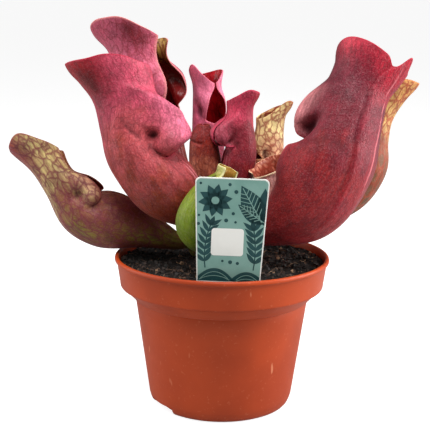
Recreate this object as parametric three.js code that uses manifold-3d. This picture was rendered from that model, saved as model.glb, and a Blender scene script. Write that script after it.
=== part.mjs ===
// Potted pitcher plant: eleven hollow pitcher leaves that grow from one crown, in a round nursery pot
// filled with peat, with a plant label pushed in at the front.
// Millimetres, +Z up. The origin is the centre of the pot's base, and the label faces -Y.
import * as THREE from 'three';
import { mergeVertices } from 'three/addons/utils/BufferGeometryUtils.js';
import Module from 'manifold-3d';

const wasm = await Module();
wasm.setup();

// Pot, a thin moulded shell with a stepped collar
const rimRadius = 45;
const potHeight = 64;
const potWall = 1;
const baseRadius = 26.5;
const footRadius = 30.4;
const bodyTopRadius = 36.3;
const bodyTopHeight = 46.2;
const collarRadius = 42.8;
const collarHeight = 52.6;
const collarTopRadius = 44.2;
const beadHeight = 1.9;
const roundSides = 36;
const drainHoles = 5;
const drainHoleRadius = 3;
const drainHoleRing = 17;
const notchHeight = 3.6;
const notchWidth = THREE.MathUtils.degToRad(37);
const notchTurns = [210, 30].map(THREE.MathUtils.degToRad);

// Peat and the crown in it
const soilHeight = 61.3;
const gap = 0.3;
const crownX = 0;
const crownY = 8;
const crownRadius = 7;
const crownBottom = 51;
const crownTop = 65.5;

// Label
const labelThickness = 0.6;
const labelTopWidth = 28;
const labelSoilWidth = 24.6;
const labelHeight = 55.5;
const stakeLength = 13.5;
const stakeTipWidth = 3;
const labelCorner = 2;
const labelFoot = [2.2, -35.9, 48.5];
const labelLeanForward = THREE.MathUtils.degToRad(5.5);
const labelLeanRight = THREE.MathUtils.degToRad(1.5);

// Leaves
const leafWall = 1;
const leafBaseRing = 9.7;
const leafBaseHeight = 57;
const leafBaseRadius = 1.9;
const hollowFrom = 1.6;
const bulbRoundness = 0.85;
const columnSpread = 1.25;

// Each station is [x, y, z, half depth, half width] of the leaf's cross-section, from the stalk to the hood.
// A place along the leaf is a station number. Angles go round a cross-section from its front, in degrees.
//   flank   columns of the skin on each flank
//   base    direction in which the leaf leaves the crown, from +X
//   faces   direction in which its mouth looks, from +X, and upward tips that direction up
//   twist   how far the hood is turned about the leaf
//   lip     place of the mouth's front lip, and slant is how much higher the lip's line lies at the flanks
//   mouth   half the mouth's width at the lip. The hood's flanks close in to shut, which they reach at
//           closes, and stand at spread at the hood's edge
//   cheek   how far the bulb over the lip stands out, and reach is how far it goes round
//   puff    its length in stations, with its fullest place at crest, a part of that length
//   droop   how far it hangs down, and roll how far the flanks' edges curl in on it
//   dimple  depth of the pit at the bulb's end, wing of the ridge in front and keel of the fold behind
//   brim    how far the hood's edge rises and flare how far it leans out, at every 45 degrees from the back
const leaves = [
  {
    name: 'pitcher_left_front',
    colour: 0xb8405a,
    flank: 9,
    base: 218,
    faces: -18,
    upward: 0.35,
    twist: 22,
    lip: 3.5,
    slant: 1.55,
    mouth: 24,
    shut: 4,
    spread: 10,
    closes: 0.12,
    cheek: 9.8,
    reach: 44,
    puff: 2.7,
    crest: 0.58,
    droop: 6,
    roll: 1.5,
    dimple: 4.2,
    wing: 2.6,
    keel: 0.6,
    brim: [7.5, 7.5, 5.5, -1.5, -6, -8, -3, 3],
    flare: [4.5, 3, 1.5, 1.5, 1.5, 1.5, 1.5, 3],
    stations: [
      [-8.5, -1, 72.5, 3.2, 3.2],
      [-13, -5, 81.5, 7, 6.7],
      [-21.8, -9, 93.2, 14.6, 13.6],
      [-31.8, -10, 107, 15, 13.5],
      [-36.3, -10, 118, 12.6, 12],
      [-39, -10, 129, 12.3, 11.5],
      [-42, -10, 137, 12.4, 11.5],
      [-44.5, -10, 143, 12.2, 11.5],
    ],
  },
  {
    name: 'pitcher_left_back',
    colour: 0xb5506a,
    flank: 7,
    base: 125,
    faces: -38,
    upward: 0.2,
    twist: 18,
    lip: 3.8,
    slant: 1,
    mouth: 34,
    shut: 28,
    spread: 20,
    closes: 0.3,
    cheek: 4,
    reach: 44,
    puff: 1.8,
    crest: 0.42,
    droop: 1.5,
    roll: 1,
    dimple: 3.5,
    wing: 2.2,
    keel: 0.6,
    brim: [6, 9.5, 9, 1, -7, -6, -5, 1],
    flare: [4, 2, 1.5, 1.5, 1.5, 1.5, 1.5, 2],
    stations: [
      [-9, 19, 73, 2.8, 2.8],
      [-15.5, 21.8, 83, 5.4, 5.4],
      [-27, 27.5, 101.5, 10.8, 10.8],
      [-33, 26.5, 121.5, 13, 11.7],
      [-35, 25.5, 135, 12.6, 11.6],
      [-37.5, 25, 146.5, 12, 10.5],
      [-40, 25, 154.5, 13, 11.2],
    ],
  },
  {
    name: 'pitcher_left_low',
    colour: 0x9a8a4a,
    flank: 8,
    base: 184,
    faces: -25,
    upward: 1.9,
    twist: 14,
    lip: 4.65,
    slant: 0.7,
    mouth: 34,
    shut: 12,
    spread: 14,
    closes: 0.55,
    cheek: 4.4,
    reach: 46,
    puff: 2,
    crest: 0.42,
    droop: 2.1,
    roll: 0.4,
    dimple: 2.1,
    wing: 2,
    keel: 0.5,
    brim: [4.6, 7.4, 8.4, 0.2, -8, -7, -3, 2],
    flare: [1, 1, 1, 1, 1, 1, 1, 1],
    stations: [
      [-13, 6.5, 67, 3, 3],
      [-21.5, 6, 68.4, 4.2, 4.2],
      [-33, 5, 72.7, 7.8, 7.4],
      [-47, 4.5, 77.2, 13, 11.4],
      [-57.5, 3, 81.4, 11.8, 10.6],
      [-66, 2, 91.5, 8, 7.6],
      [-73, 2, 101, 6.8, 6.8],
      [-78.6, 2, 108, 7.6, 7.4],
    ],
  },
  {
    name: 'pitcher_centre_back',
    colour: 0xc85070,
    flank: 5,
    base: 98,
    faces: -55,
    upward: 0,
    twist: 0,
    lip: 4.2,
    slant: 0.5,
    mouth: 50,
    shut: 3,
    spread: 3,
    closes: 0.85,
    cheek: 1.5,
    reach: 70,
    puff: 1.5,
    crest: 0.42,
    droop: 0.5,
    roll: 0,
    dimple: 1.5,
    wing: 1.5,
    keel: 0.4,
    brim: [0.5, 2.5, 6, 1, -3, 1, 2, 1],
    flare: [1, 1, 0.3, 0.5, 0, 1, 1.5, 1],
    stations: [
      [-2, 20.5, 69, 2.6, 2.6],
      [-5, 26.5, 84.5, 4.6, 4.6],
      [-7, 32, 99, 6.6, 7],
      [-6.5, 33.5, 113, 8, 7.3],
      [-7, 33.5, 124, 7.5, 6.6],
      [-7.5, 33.5, 131, 6.7, 6.2],
      [-8, 33.5, 136, 6.8, 6.5],
    ],
  },
  {
    name: 'pitcher_centre',
    colour: 0xa83458,
    flank: 5,
    base: 62,
    faces: -142,
    upward: 0.1,
    twist: -22,
    lip: 4,
    slant: 0.7,
    mouth: 34,
    shut: 7,
    spread: 8,
    closes: 0.25,
    cheek: 6.4,
    reach: 46,
    puff: 1.5,
    crest: 0.42,
    droop: 2,
    roll: 1.2,
    dimple: 2.2,
    wing: 1,
    keel: 0.4,
    brim: [3, 2, -2, -3, -3, 0, 4, 4],
    flare: [1, 1, 0.8, 0.8, 0.8, 0.8, 0.8, 1],
    stations: [
      [3.5, 15.5, 73, 2.6, 2.6],
      [4.5, 14.5, 84.5, 3.9, 3.9],
      [6.5, 13.5, 97.5, 5.8, 5.4],
      [7, 13, 107, 6.4, 5.6],
      [6.2, 13, 116.5, 6.2, 5.8],
      [6.8, 13, 124, 5.3, 5.2],
      [8, 13, 129, 5.5, 5.2],
    ],
  },
  {
    name: 'pitcher_centre_low',
    colour: 0x8a4038,
    flank: 4,
    base: 152,
    faces: 95,
    upward: 0.1,
    twist: 0,
    lip: 4,
    slant: 0.4,
    mouth: 34,
    shut: 4,
    spread: 4,
    closes: 0.3,
    cheek: 1.2,
    reach: 60,
    puff: 1.2,
    crest: 0.42,
    droop: 0.8,
    roll: 0.5,
    dimple: 1.6,
    wing: 1,
    keel: 0.4,
    brim: [0, 0, 0, 0, 0, 0, 0, 0],
    flare: [0, 0, 0, 0, 0, 0, 0, 0],
    stations: [
      [-5, 12, 71, 2.4, 2.4],
      [-5.5, 14, 86, 3.7, 3.7],
      [-7.3, 15.3, 97.5, 5.4, 5.4],
      [-8.3, 15.8, 106, 5.5, 5.5],
      [-8.7, 16, 112, 5.3, 5.3],
      [-8.7, 16, 117, 2.6, 2.6],
    ],
  },
  {
    name: 'pitcher_centre_right',
    colour: 0xc8a860,
    flank: 4,
    base: 35,
    faces: -145,
    upward: 0.1,
    twist: -22,
    lip: 3.5,
    slant: 0.45,
    mouth: 36,
    shut: 7,
    spread: 10,
    closes: 0.25,
    cheek: 2.6,
    reach: 46,
    puff: 1.6,
    crest: 0.42,
    droop: 1,
    roll: 1,
    dimple: 1.8,
    wing: 1,
    keel: 0.4,
    brim: [4.5, 0.5, -4, -7, -9, -6, 2.2, 4.5],
    flare: [0, 0.4, 0.4, 0.4, 0.4, 0.4, 0.4, 0.4],
    stations: [
      [10, 16.5, 72.5, 2.6, 2.6],
      [13.5, 22, 83, 3.6, 3.6],
      [18.5, 26.5, 95, 5.8, 5.5],
      [20, 27.5, 104.5, 6.4, 5.8],
      [19.8, 27.5, 112.5, 6.3, 5.8],
      [21, 27.5, 119, 5.4, 5],
      [23.5, 27.5, 123.5, 4.6, 4.6],
    ],
  },
  {
    name: 'pitcher_right_inner',
    colour: 0xc05a60,
    flank: 5,
    base: -14,
    faces: -110,
    upward: 0.3,
    twist: 0,
    lip: 5.4,
    slant: 0.1,
    mouth: 70,
    shut: 66,
    spread: 70,
    closes: 0.45,
    cheek: 0,
    reach: 60,
    puff: 1,
    crest: 0.42,
    droop: 0,
    roll: 0,
    dimple: 0.3,
    wing: 1.6,
    keel: 0.4,
    brim: [1.5, 1, 0, 0, 0, 0, 0, 1],
    flare: [0.6, 0.6, 0.6, 0.6, 0.6, 0.6, 0.6, 0.6],
    stations: [
      [10, 3.5, 71.5, 2.8, 2.8],
      [12.5, 4, 76.5, 4.8, 4.8],
      [20.5, 5.5, 84.5, 7.8, 7.4],
      [22, 5.5, 91.5, 8.6, 8.4],
      [20.8, 5.2, 97, 8.3, 8.3],
      [18.8, 5.4, 102, 8.3, 8.3],
    ],
  },
  {
    name: 'pitcher_right_front',
    colour: 0xa02848,
    flank: 9,
    base: -50,
    faces: 140,
    upward: 0.3,
    twist: 12,
    lip: 4.5,
    slant: 0.9,
    mouth: 32,
    shut: 7,
    spread: 10,
    closes: 0.25,
    cheek: 7,
    reach: 46,
    puff: 2.4,
    crest: 0.28,
    droop: 2.5,
    roll: 2,
    dimple: 5,
    wing: 2.6,
    keel: 1,
    brim: [-2.5, -1.5, 0, 1.5, 0, 3, 4.5, 1.5],
    flare: [3.5, 3, 1.2, 1.2, 1.2, 1.2, 1.2, 1.5],
    stations: [
      [9, -4, 70, 3.1, 3.1],
      [16, -10, 75.6, 5.9, 5.9],
      [33.5, -15, 88, 15, 15],
      [43.5, -15, 104.5, 16, 18.6],
      [47, -13, 115.5, 15, 17.6],
      [50, -11, 125.5, 14, 15.5],
      [53.5, -9, 134.5, 12.8, 13],
      [56.5, -7.5, 141.5, 12.6, 12.8],
      [58, -6.5, 147, 12.6, 12.6],
    ],
  },
  {
    name: 'pitcher_right_back',
    colour: 0xc09a58,
    flank: 5,
    base: 10,
    faces: 172,
    upward: 0.3,
    twist: 0,
    lip: 4.3,
    slant: 0.7,
    mouth: 34,
    shut: 14,
    spread: 24,
    closes: 0.45,
    cheek: 3.2,
    reach: 46,
    puff: 1.6,
    crest: 0.42,
    droop: 1.2,
    roll: 1,
    dimple: 2.4,
    wing: 1.4,
    keel: 0.5,
    brim: [4.5, 4, 1, -2, -4.5, -2, 1, 4],
    flare: [4, 2, 1, 1, 1, 1, 1, 2],
    stations: [
      [18.5, 15, 68.5, 2.8, 2.8],
      [32, 23, 72.6, 5, 5],
      [54.5, 30.5, 83.2, 7.7, 7.7],
      [63.3, 31.5, 96, 8.6, 8.6],
      [64.5, 31.5, 108, 7.6, 7.4],
      [66, 31.5, 118.5, 7.5, 7.1],
      [70.5, 31.5, 128, 6.8, 6.7],
      [73.5, 31.5, 134.5, 6.2, 6.2],
    ],
  },
  {
    name: 'pitcher_young_green',
    colour: 0x8a9a30,
    flank: 4,
    base: -112,
    faces: -55,
    upward: 0.4,
    twist: 0,
    lip: 4.5,
    slant: 0.4,
    mouth: 50,
    shut: 42,
    spread: 40,
    closes: 0.45,
    cheek: 0.4,
    reach: 70,
    puff: 1,
    crest: 0.42,
    droop: 0.3,
    roll: 0,
    dimple: 0.6,
    wing: 1,
    keel: 0.4,
    brim: [0.5, 0.5, 0, 0, 0, 0, 0, 0.5],
    flare: [1, 0.6, 0.6, 0.6, 0.6, 0.6, 0.6, 0.6],
    stations: [
      [-6.5, -12, 69, 2.3, 2.3],
      [-9.5, -21, 75.5, 5.6, 5.6],
      [-10.5, -27, 83.5, 8.3, 8],
      [-6.5, -27.5, 93, 7.2, 7],
      [0, -27, 100, 4.9, 4.8],
      [2, -26.3, 105, 3.8, 3.6],
    ],
  },
];

// Solids: a geometry becomes a manifold-3d solid for joining and cutting, and comes back as a geometry.
function solidOf(geometry) {
  const bare = geometry.clone();
  bare.deleteAttribute('normal');
  bare.deleteAttribute('uv');
  const merged = mergeVertices(bare, 1e-4);
  return new wasm.Manifold(new wasm.Mesh({
    numProp: 3,
    vertProperties: merged.attributes.position.array,
    triVerts: new Uint32Array(merged.index.array),
  }));
}

function geometryOf(solid) {
  const mesh = solid.getMesh();
  const geometry = new THREE.BufferGeometry();
  geometry.setAttribute('position', new THREE.BufferAttribute(new Float32Array(mesh.vertProperties), 3));
  geometry.setIndex(new THREE.BufferAttribute(new Uint32Array(mesh.triVerts), 1));
  geometry.computeVertexNormals();
  return geometry;
}

// Half of a lathe's outline as [radius, height] pairs, turned round the Z axis.
function turned(profile, sides) {
  const geometry = new THREE.LatheGeometry(profile.map(([r, z]) => new THREE.Vector2(r, z)), sides);
  return geometry.rotateX(Math.PI / 2);
}

function named(name, solid, colour, roughness) {
  const material = new THREE.MeshStandardMaterial({ color: colour, roughness, metalness: 0 });
  const mesh = new THREE.Mesh(geometryOf(solid), material);
  mesh.name = name;
  return mesh;
}

// The smooth curve from b to c at f, on its way from a to d.
function smooth(a, b, c, d, f) {
  return b + 0.5 * f * (c - a + f * (2 * a - 5 * b + 4 * c - d + f * (3 * (b - c) + d - a)));
}

// A smooth curve through a list of numbers, read at any place between the first, 0, and the last.
function through(values, place) {
  const last = values.length - 1;
  const index = Math.min(Math.max(Math.floor(place), 0), last - 1);
  const at = (k) => {
    if (k < 0) return 2 * values[0] - values[1];
    if (k > last) return 2 * values[last] - values[last - 1];
    return values[k];
  };
  return smooth(at(index - 1), at(index), at(index + 1), at(index + 2), place - index);
}

// A smooth closed curve through numbers that stand evenly round a circle from its back, read at any angle.
function around(values, angle) {
  const place = ((angle + 180) * values.length) / 360;
  const index = Math.floor(place);
  const at = (k) => values[(k + values.length) % values.length];
  return smooth(at(index - 1), at(index), at(index + 1), at(index + 2), place - index);
}

// A hump of height 1 at centre that falls away over its own width on either side.
function hump(x, centre, below, above = below) {
  const width = x < centre ? below : above;
  return Math.exp(-(((x - centre) / width) ** 2));
}

function ease(x, from, to) {
  const f = Math.min(Math.max((x - from) / (to - from), 0), 1);
  return f * f * (3 - 2 * f);
}

// The stations of a leaf with the first one added, on the ring round the crown.
function stationsOf(leaf) {
  const turn = THREE.MathUtils.degToRad(leaf.base);
  const x = crownX + leafBaseRing * Math.cos(turn);
  const y = crownY + leafBaseRing * Math.sin(turn);
  return [[x, y, leafBaseHeight, leafBaseRadius, leafBaseRadius], ...leaf.stations];
}

// The leaf's midline at a place, with the directions along it, to its front and to its side.
function midline(stations, facing, place) {
  const point = (p) => new THREE.Vector3(
    ...[0, 1, 2].map((axis) => through(stations.map((station) => station[axis]), p)),
  );
  const centre = point(place);
  const along = point(place + 0.02).sub(point(place - 0.02)).normalize();
  const front = facing.clone().addScaledVector(along, -facing.dot(along)).normalize();
  const side = along.clone().cross(front);
  return { centre, along, front, side };
}

// The bulb over the lip, 1 at its fullest: round underneath, and running out softly upwards and at its sides.
function bulbAt(leaf, above, turn) {
  const lift = above / leaf.puff;
  const under = Math.max(0, 1 - ((leaf.crest - lift) / leaf.crest) ** 2) ** bulbRoundness;
  const full = lift < leaf.crest ? under : 1 - ease(lift, leaf.crest, 1);
  const widening = ease(lift, 0.1, 0.8);
  const reach = leaf.reach * (1 + 0.5 * widening);
  return full * Math.exp(-((turn / reach) ** (4 - 2 * widening)));
}

// A point of the leaf's skin. The row is a station number and inset is the depth under the outer face, where
// the wing and the keel don't show.
function skinPoint(leaf, stations, facing, row, angle, inset) {
  const top = stations.length - 1;
  const above = row - leaf.lip;
  const rise = Math.max(0, above / (top - leaf.lip));
  const columnTurn = Math.abs(angle);
  // The rows near the lip climb from the front to the flanks, as the crease under the bulb does.
  const flankClimb = 1 - Math.cos(THREE.MathUtils.degToRad(Math.min(columnTurn, 100)));
  const climb = flankClimb * (1 - 0.7 * ease(columnTurn, 100, 180));
  const climbing = ease(row, leaf.lip - 1.2, leaf.lip) * (1 - ease(row, leaf.lip, top));
  const place = row + leaf.slant * climb * climbing;
  const { centre, along, front, side } = midline(stations, facing, place);
  const twist = THREE.MathUtils.degToRad(leaf.twist) * ease(above, -0.6, 1.4);
  front.applyAxisAngle(along, twist);
  side.applyAxisAngle(along, twist);
  const deep = through(stations.map((station) => station[3]), place) - inset;
  const wide = through(stations.map((station) => station[4]), place) - inset;
  // Above the lip the flanks of the hood close in from the mouth's width, then spread again at its edge.
  const closing = leaf.shut + (leaf.mouth - leaf.shut) * (1 - ease(rise, 0, leaf.closes));
  const opening = closing + (leaf.spread - leaf.shut) * ease(rise, 0.6, 1);
  const turn = rise > 0 && columnTurn >= leaf.mouth
    ? opening + (columnTurn - leaf.mouth) * (180 - opening) / (180 - leaf.mouth)
    : columnTurn;
  const cos = Math.cos(THREE.MathUtils.degToRad(turn));
  const sin = Math.sin(THREE.MathUtils.degToRad(turn));
  let forward = deep * cos;
  let sideways = wide * sin;
  let upward = 0;
  // The bulb hangs over the crease, which has a pit at each side, and the flanks' edges curl in on the bulb.
  const bulb = bulbAt(leaf, above, turn);
  forward += leaf.cheek * bulb;
  sideways += 0.3 * leaf.cheek * bulb * sin;
  upward -= leaf.droop * bulb * (1 - ease(above, 0.2 * leaf.puff, 0.6 * leaf.puff));
  forward -= leaf.roll * bulb * hump(turn, opening, 12);
  const crease = hump(above, -0.05, 0.35, 0.15) * hump(turn, leaf.reach, 25, 30);
  forward -= 0.3 * leaf.dimple * crease * cos;
  sideways -= 0.3 * leaf.dimple * crease * sin;
  sideways -= leaf.dimple * hump(above, 0.05, 0.3, 0.25) * hump(turn, leaf.reach + 6, 13, 18);
  // Under the bulb the wall is measured upwards, because the skin lies nearly level there.
  upward += inset * ease(above, -0.1, 0.05) * (1 - ease(above, 0.3, 1)) * hump(turn, 20, 40, 42);
  // The lip's front edge rolls outwards.
  forward += hump(row, leaf.lip, 0.18) * hump(turn, 0, 30);
  // The hood's edge leans out and rises or dips, each by its own amount all the way round.
  const signedTurn = turn * Math.sign(angle);
  const lean = around(leaf.flare, signedTurn) * ease(rise, 0.45, 1) ** 1.5;
  forward += lean * cos;
  sideways += lean * sin;
  upward += around(leaf.brim, signedTurn) * rise ** 1.5;
  if (inset === 0) {
    forward += leaf.wing * hump(turn, 0, 9) * ease(row, 1.2, 2.4) * (1 - ease(row, leaf.lip - 0.5, leaf.lip));
    forward -= leaf.keel * hump(turn, 180, 10) * ease(row, 2, 3);
  }
  centre.addScaledVector(front, forward);
  centre.addScaledVector(side, sideways * Math.sign(angle));
  return centre.addScaledVector(along, upward);
}

// Places of the rows, closer together round the lip and the crease.
function rowsOf(leaf, top, step) {
  const near = [-0.8, -0.4, -0.12, 0, 0.06, 0.2, 0.45, 0.8, 1.2, 1.7].map((offset) => leaf.lip + offset);
  const lowCount = Math.round(near[0] / step);
  const low = Array.from({ length: lowCount }, (_, k) => (near[0] * k) / lowCount);
  const start = near[near.length - 1];
  if (start > top - 0.2) return [...low, ...near.filter((place) => place < top - 0.15), top];
  const highCount = Math.round((top - start) / step);
  const high = Array.from({ length: highCount }, (_, k) => start + ((top - start) * (k + 1)) / highCount);
  return [...low, ...near, ...high];
}

// Angles of the columns from the front, closer together at the mouth than at the back.
function columnsOf(leaf) {
  const flank = Array.from({ length: leaf.flank }, (_, k) => {
    const part = (k + 1) / (leaf.flank + 1);
    return leaf.mouth + (180 - leaf.mouth) * part ** columnSpread;
  });
  const half = [leaf.mouth * 0.35, leaf.mouth * 0.7, leaf.mouth, ...flank];
  return [0, ...half, 180, ...half.map((angle) => -angle).reverse()];
}

function facingOf(leaf) {
  const turn = THREE.MathUtils.degToRad(leaf.faces);
  return new THREE.Vector3(Math.cos(turn), Math.sin(turn), leaf.upward).normalize();
}

// A closed geometry from a list of corners and triangles.
function closedGeometry(corners, triangles) {
  const geometry = new THREE.BufferGeometry();
  geometry.setAttribute('position', new THREE.Float32BufferAttribute(corners.flatMap((c) => c.toArray()), 3));
  geometry.setIndex(triangles.flat());
  return geometry;
}

// One pitcher: an outer skin, an inner skin from partway up, and the edges between them at mouth and hood.
function pitcherSolid(leaf) {
  const stations = stationsOf(leaf);
  const facing = facingOf(leaf);
  const rows = rowsOf(leaf, stations.length - 1, 0.6);
  const columns = columnsOf(leaf);
  const lipRow = rows.findIndex((place) => Math.abs(place - leaf.lip) < 1e-6);
  const hollowRow = rows.findIndex((row) => row > hollowFrom);
  const corners = [];
  const triangles = [];
  const outer = rows.map((place) => columns.map((angle) => {
    corners.push(skinPoint(leaf, stations, facing, place, angle, 0));
    return corners.length - 1;
  }));
  const inner = rows.map((place, i) => columns.map((angle) => {
    if (i < hollowRow) return -1;
    corners.push(skinPoint(leaf, stations, facing, place, angle, leafWall));
    return corners.length - 1;
  }));
  const quad = (a, b, c, d) => triangles.push([a, b, c], [a, c, d]);
  const count = columns.length;
  const present = (i, j) => {
    if (i < 0 || i >= rows.length - 1) return false;
    const angles = [columns[j], columns[(j + 1) % count]];
    return i < lipRow || angles.every((angle) => Math.abs(angle) >= leaf.mouth - 1e-6);
  };
  for (let i = 0; i < rows.length - 1; i += 1) {
    for (let j = 0; j < count; j += 1) {
      const k = (j + 1) % count;
      if (!present(i, j)) continue;
      quad(outer[i][j], outer[i][k], outer[i + 1][k], outer[i + 1][j]);
      if (i < hollowRow) continue;
      const [a, b, c, d] = [inner[i][j], inner[i][k], inner[i + 1][k], inner[i + 1][j]];
      triangles.push([a, c, b], [a, d, c]);
      if (!present(i + 1, j)) quad(outer[i + 1][j], outer[i + 1][k], c, d);
      if (!present(i, k)) quad(outer[i][k], b, c, outer[i + 1][k]);
      if (!present(i, (j + count - 1) % count)) quad(outer[i][j], outer[i + 1][j], d, a);
    }
  }
  // The stalk's end and the floor of the hollow
  const capCentre = (ring) => {
    const middle = new THREE.Vector3();
    ring.forEach((corner) => middle.addScaledVector(corners[corner], 1 / ring.length));
    corners.push(middle);
    return corners.length - 1;
  };
  const foot = capCentre(outer[0]);
  const floor = capCentre(inner[hollowRow]);
  for (let j = 0; j < count; j += 1) {
    const k = (j + 1) % count;
    triangles.push([foot, outer[0][k], outer[0][j]]);
    triangles.push([floor, inner[hollowRow][j], inner[hollowRow][k]]);
  }
  return solidOf(closedGeometry(corners, triangles));
}

// The room that a leaf's stalk needs, as a closed tube a little larger than the stalk.
function stalkRoom(leaf, clearance) {
  const stations = stationsOf(leaf);
  const facing = facingOf(leaf);
  const rows = [-0.1, 0, 0.5, 1, 1.5, 2, 2.5, 3];
  const columns = Array.from({ length: 10 }, (_, k) => k * 36);
  const corners = [];
  const ring = rows.map((place) => columns.map((angle) => {
    corners.push(skinPoint(leaf, stations, facing, place, angle > 180 ? angle - 360 : angle, -clearance));
    return corners.length - 1;
  }));
  const ends = [0, rows.length - 1].map((i) => {
    corners.push(midline(stations, facing, rows[i]).centre);
    return corners.length - 1;
  });
  const triangles = [];
  columns.forEach((_, j) => {
    const k = (j + 1) % columns.length;
    for (let i = 0; i < rows.length - 1; i += 1) {
      triangles.push([ring[i][j], ring[i][k], ring[i + 1][k]], [ring[i][j], ring[i + 1][k], ring[i + 1][j]]);
    }
    triangles.push([ends[0], ring[0][k], ring[0][j]]);
    triangles.push([ends[1], ring[rows.length - 1][j], ring[rows.length - 1][k]]);
  });
  return solidOf(closedGeometry(corners, triangles));
}

// Pot: outside from the base up to the bead, then inside from the rim down to the floor.
function potSolid() {
  const outside = [
    [0, 0],
    [baseRadius, 0],
    [footRadius - 1.6, 0.8],
    [footRadius - 0.5, 2.8],
    [footRadius, 4.5],
    [bodyTopRadius, bodyTopHeight],
    [bodyTopRadius + 0.6, bodyTopHeight + 0.4],
    [collarRadius - 0.5, collarHeight - 0.5],
    [collarRadius, collarHeight + 0.3],
    [collarTopRadius, potHeight - beadHeight],
    [rimRadius - 0.2, potHeight - beadHeight + 0.25],
    [rimRadius, potHeight - 0.9],
    [rimRadius - 0.3, potHeight - 0.2],
    [rimRadius - 0.9, potHeight],
  ];
  const inside = [
    [rimRadius - 1.5, potHeight - 0.25],
    [collarTopRadius - potWall, potHeight - 1.2],
    [collarRadius - potWall, collarHeight + 0.6],
    [collarRadius - potWall - 0.5, collarHeight - 0.1],
    [bodyTopRadius - potWall + 0.5, bodyTopHeight + 0.9],
    [bodyTopRadius - potWall, bodyTopHeight + 0.2],
    [footRadius - potWall, 4.8],
    [footRadius - 1.8, 3.2],
    [baseRadius, potWall + 0.4],
    [0, potWall + 0.4],
  ];
  let pot = solidOf(turned([...outside, ...inside], roundSides));
  for (let k = 0; k < drainHoles; k += 1) {
    const turn = (2 * Math.PI * k) / drainHoles;
    const hole = new THREE.CylinderGeometry(drainHoleRadius, drainHoleRadius, 8, 14).rotateX(Math.PI / 2);
    hole.translate(drainHoleRing * Math.cos(turn), drainHoleRing * Math.sin(turn), 0);
    pot = pot.subtract(solidOf(hole));
  }
  for (const turn of notchTurns) {
    const sector = new THREE.Shape();
    sector.absarc(0, 0, footRadius + 6, turn - notchWidth / 2, turn + notchWidth / 2, false);
    sector.absarc(0, 0, baseRadius - 1.2, turn + notchWidth / 2, turn - notchWidth / 2, true);
    const depth = notchHeight + 2;
    const cutter = new THREE.ExtrudeGeometry(sector, { depth, bevelEnabled: false, curveSegments: 6 });
    pot = pot.subtract(solidOf(cutter.translate(0, 0, -2)));
  }
  return pot;
}

// Height of the peat's rough surface above its level
function soilRelief(x, y) {
  const coarse = Math.sin(0.31 * x + 1.3) * Math.cos(0.27 * y - 0.4);
  const fine = Math.sin(0.83 * x - 0.71 * y) * Math.cos(0.67 * x + 0.92 * y + 2);
  const mound = 1.2 * Math.exp(-((x - crownX) ** 2 + (y - crownY) ** 2) / 260);
  return 0.5 * coarse + 0.35 * fine + mound;
}

// Peat: it fills the pot to just under the rim, with a rough top.
function soilSolid() {
  const wall = [
    [baseRadius - 0.6, potWall + 0.4 + gap],
    [footRadius - 2.4, 3.8],
    [footRadius - potWall - gap, 5.4],
    [bodyTopRadius - potWall - gap, bodyTopHeight + 0.6],
    [collarRadius - potWall - 0.5 - gap, collarHeight + 0.3],
    [collarRadius - potWall - gap, collarHeight + 1],
  ];
  const edgeRadius = collarTopRadius - potWall - 2 * gap;
  const rings = [1, 0.88, 0.7, 0.48, 0.25];
  const profile = [[0, potWall + 0.4 + gap], ...wall];
  profile.push(...rings.map((f) => [edgeRadius * f, soilHeight]), [0, soilHeight]);
  const geometry = turned(profile, roundSides);
  const position = geometry.attributes.position;
  for (let i = 0; i < position.count; i += 1) {
    if (position.getZ(i) < soilHeight - 0.01) continue;
    position.setZ(i, soilHeight + soilRelief(position.getX(i), position.getY(i)));
  }
  return solidOf(geometry);
}

// Crown: the short thick stem that the leaves grow from, with its top out of the peat.
function crownSolid(clearance) {
  const r = crownRadius + clearance;
  const profile = [
    [0, crownBottom - clearance],
    [r * 0.6, crownBottom - clearance],
    [r * 0.95, crownBottom + 3],
    [r, crownBottom + 7],
    [r * 0.9, crownTop - 4],
    [r * 0.6, crownTop - 1 + clearance],
    [0, crownTop + clearance],
  ];
  return solidOf(turned(profile, 20).translate(crownX, crownY, 0));
}

// Label: a flat tag with rounded top corners that narrows to a stake.
function labelSolid(clearance) {
  const top = labelHeight + clearance;
  const topHalf = labelTopWidth / 2 + clearance;
  const soilHalf = labelSoilWidth / 2 + clearance;
  const tipHalf = stakeTipWidth / 2 + clearance;
  const outline = new THREE.Shape();
  outline.moveTo(-tipHalf, -clearance);
  outline.lineTo(tipHalf, -clearance);
  outline.lineTo(soilHalf, stakeLength);
  outline.lineTo(topHalf, top - labelCorner);
  outline.absarc(topHalf - labelCorner, top - labelCorner, labelCorner, 0, Math.PI / 2, false);
  outline.absarc(-topHalf + labelCorner, top - labelCorner, labelCorner, Math.PI / 2, Math.PI, false);
  outline.lineTo(-soilHalf, stakeLength);
  const depth = labelThickness + 2 * clearance;
  const plate = new THREE.ExtrudeGeometry(outline, { depth, bevelEnabled: false, curveSegments: 6 });
  plate.translate(0, 0, -depth / 2).rotateX(Math.PI / 2 + labelLeanForward).rotateY(labelLeanRight);
  return solidOf(plate.translate(...labelFoot));
}

const plant = new THREE.Group();
const rooms = leaves.map((leaf) => stalkRoom(leaf, gap));
const subtractAll = (solid, cutters) => cutters.reduce((rest, cutter) => rest.subtract(cutter), solid);
const soil = subtractAll(soilSolid(), [...rooms, crownSolid(gap), labelSolid(gap)]);
const crown = subtractAll(crownSolid(0), rooms);

plant.add(named('pot', potSolid(), 0xb9502e, 0.5));
plant.add(named('soil', soil, 0x2a201a, 0.95));
plant.add(named('crown', crown, 0x5a3a28, 0.8));
plant.add(named('label', labelSolid(0), 0x82aaa0, 0.4));
leaves.forEach((leaf) => plant.add(named(leaf.name, pitcherSolid(leaf), leaf.colour, 0.5)));

export default plant;
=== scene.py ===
import math
import random

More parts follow.
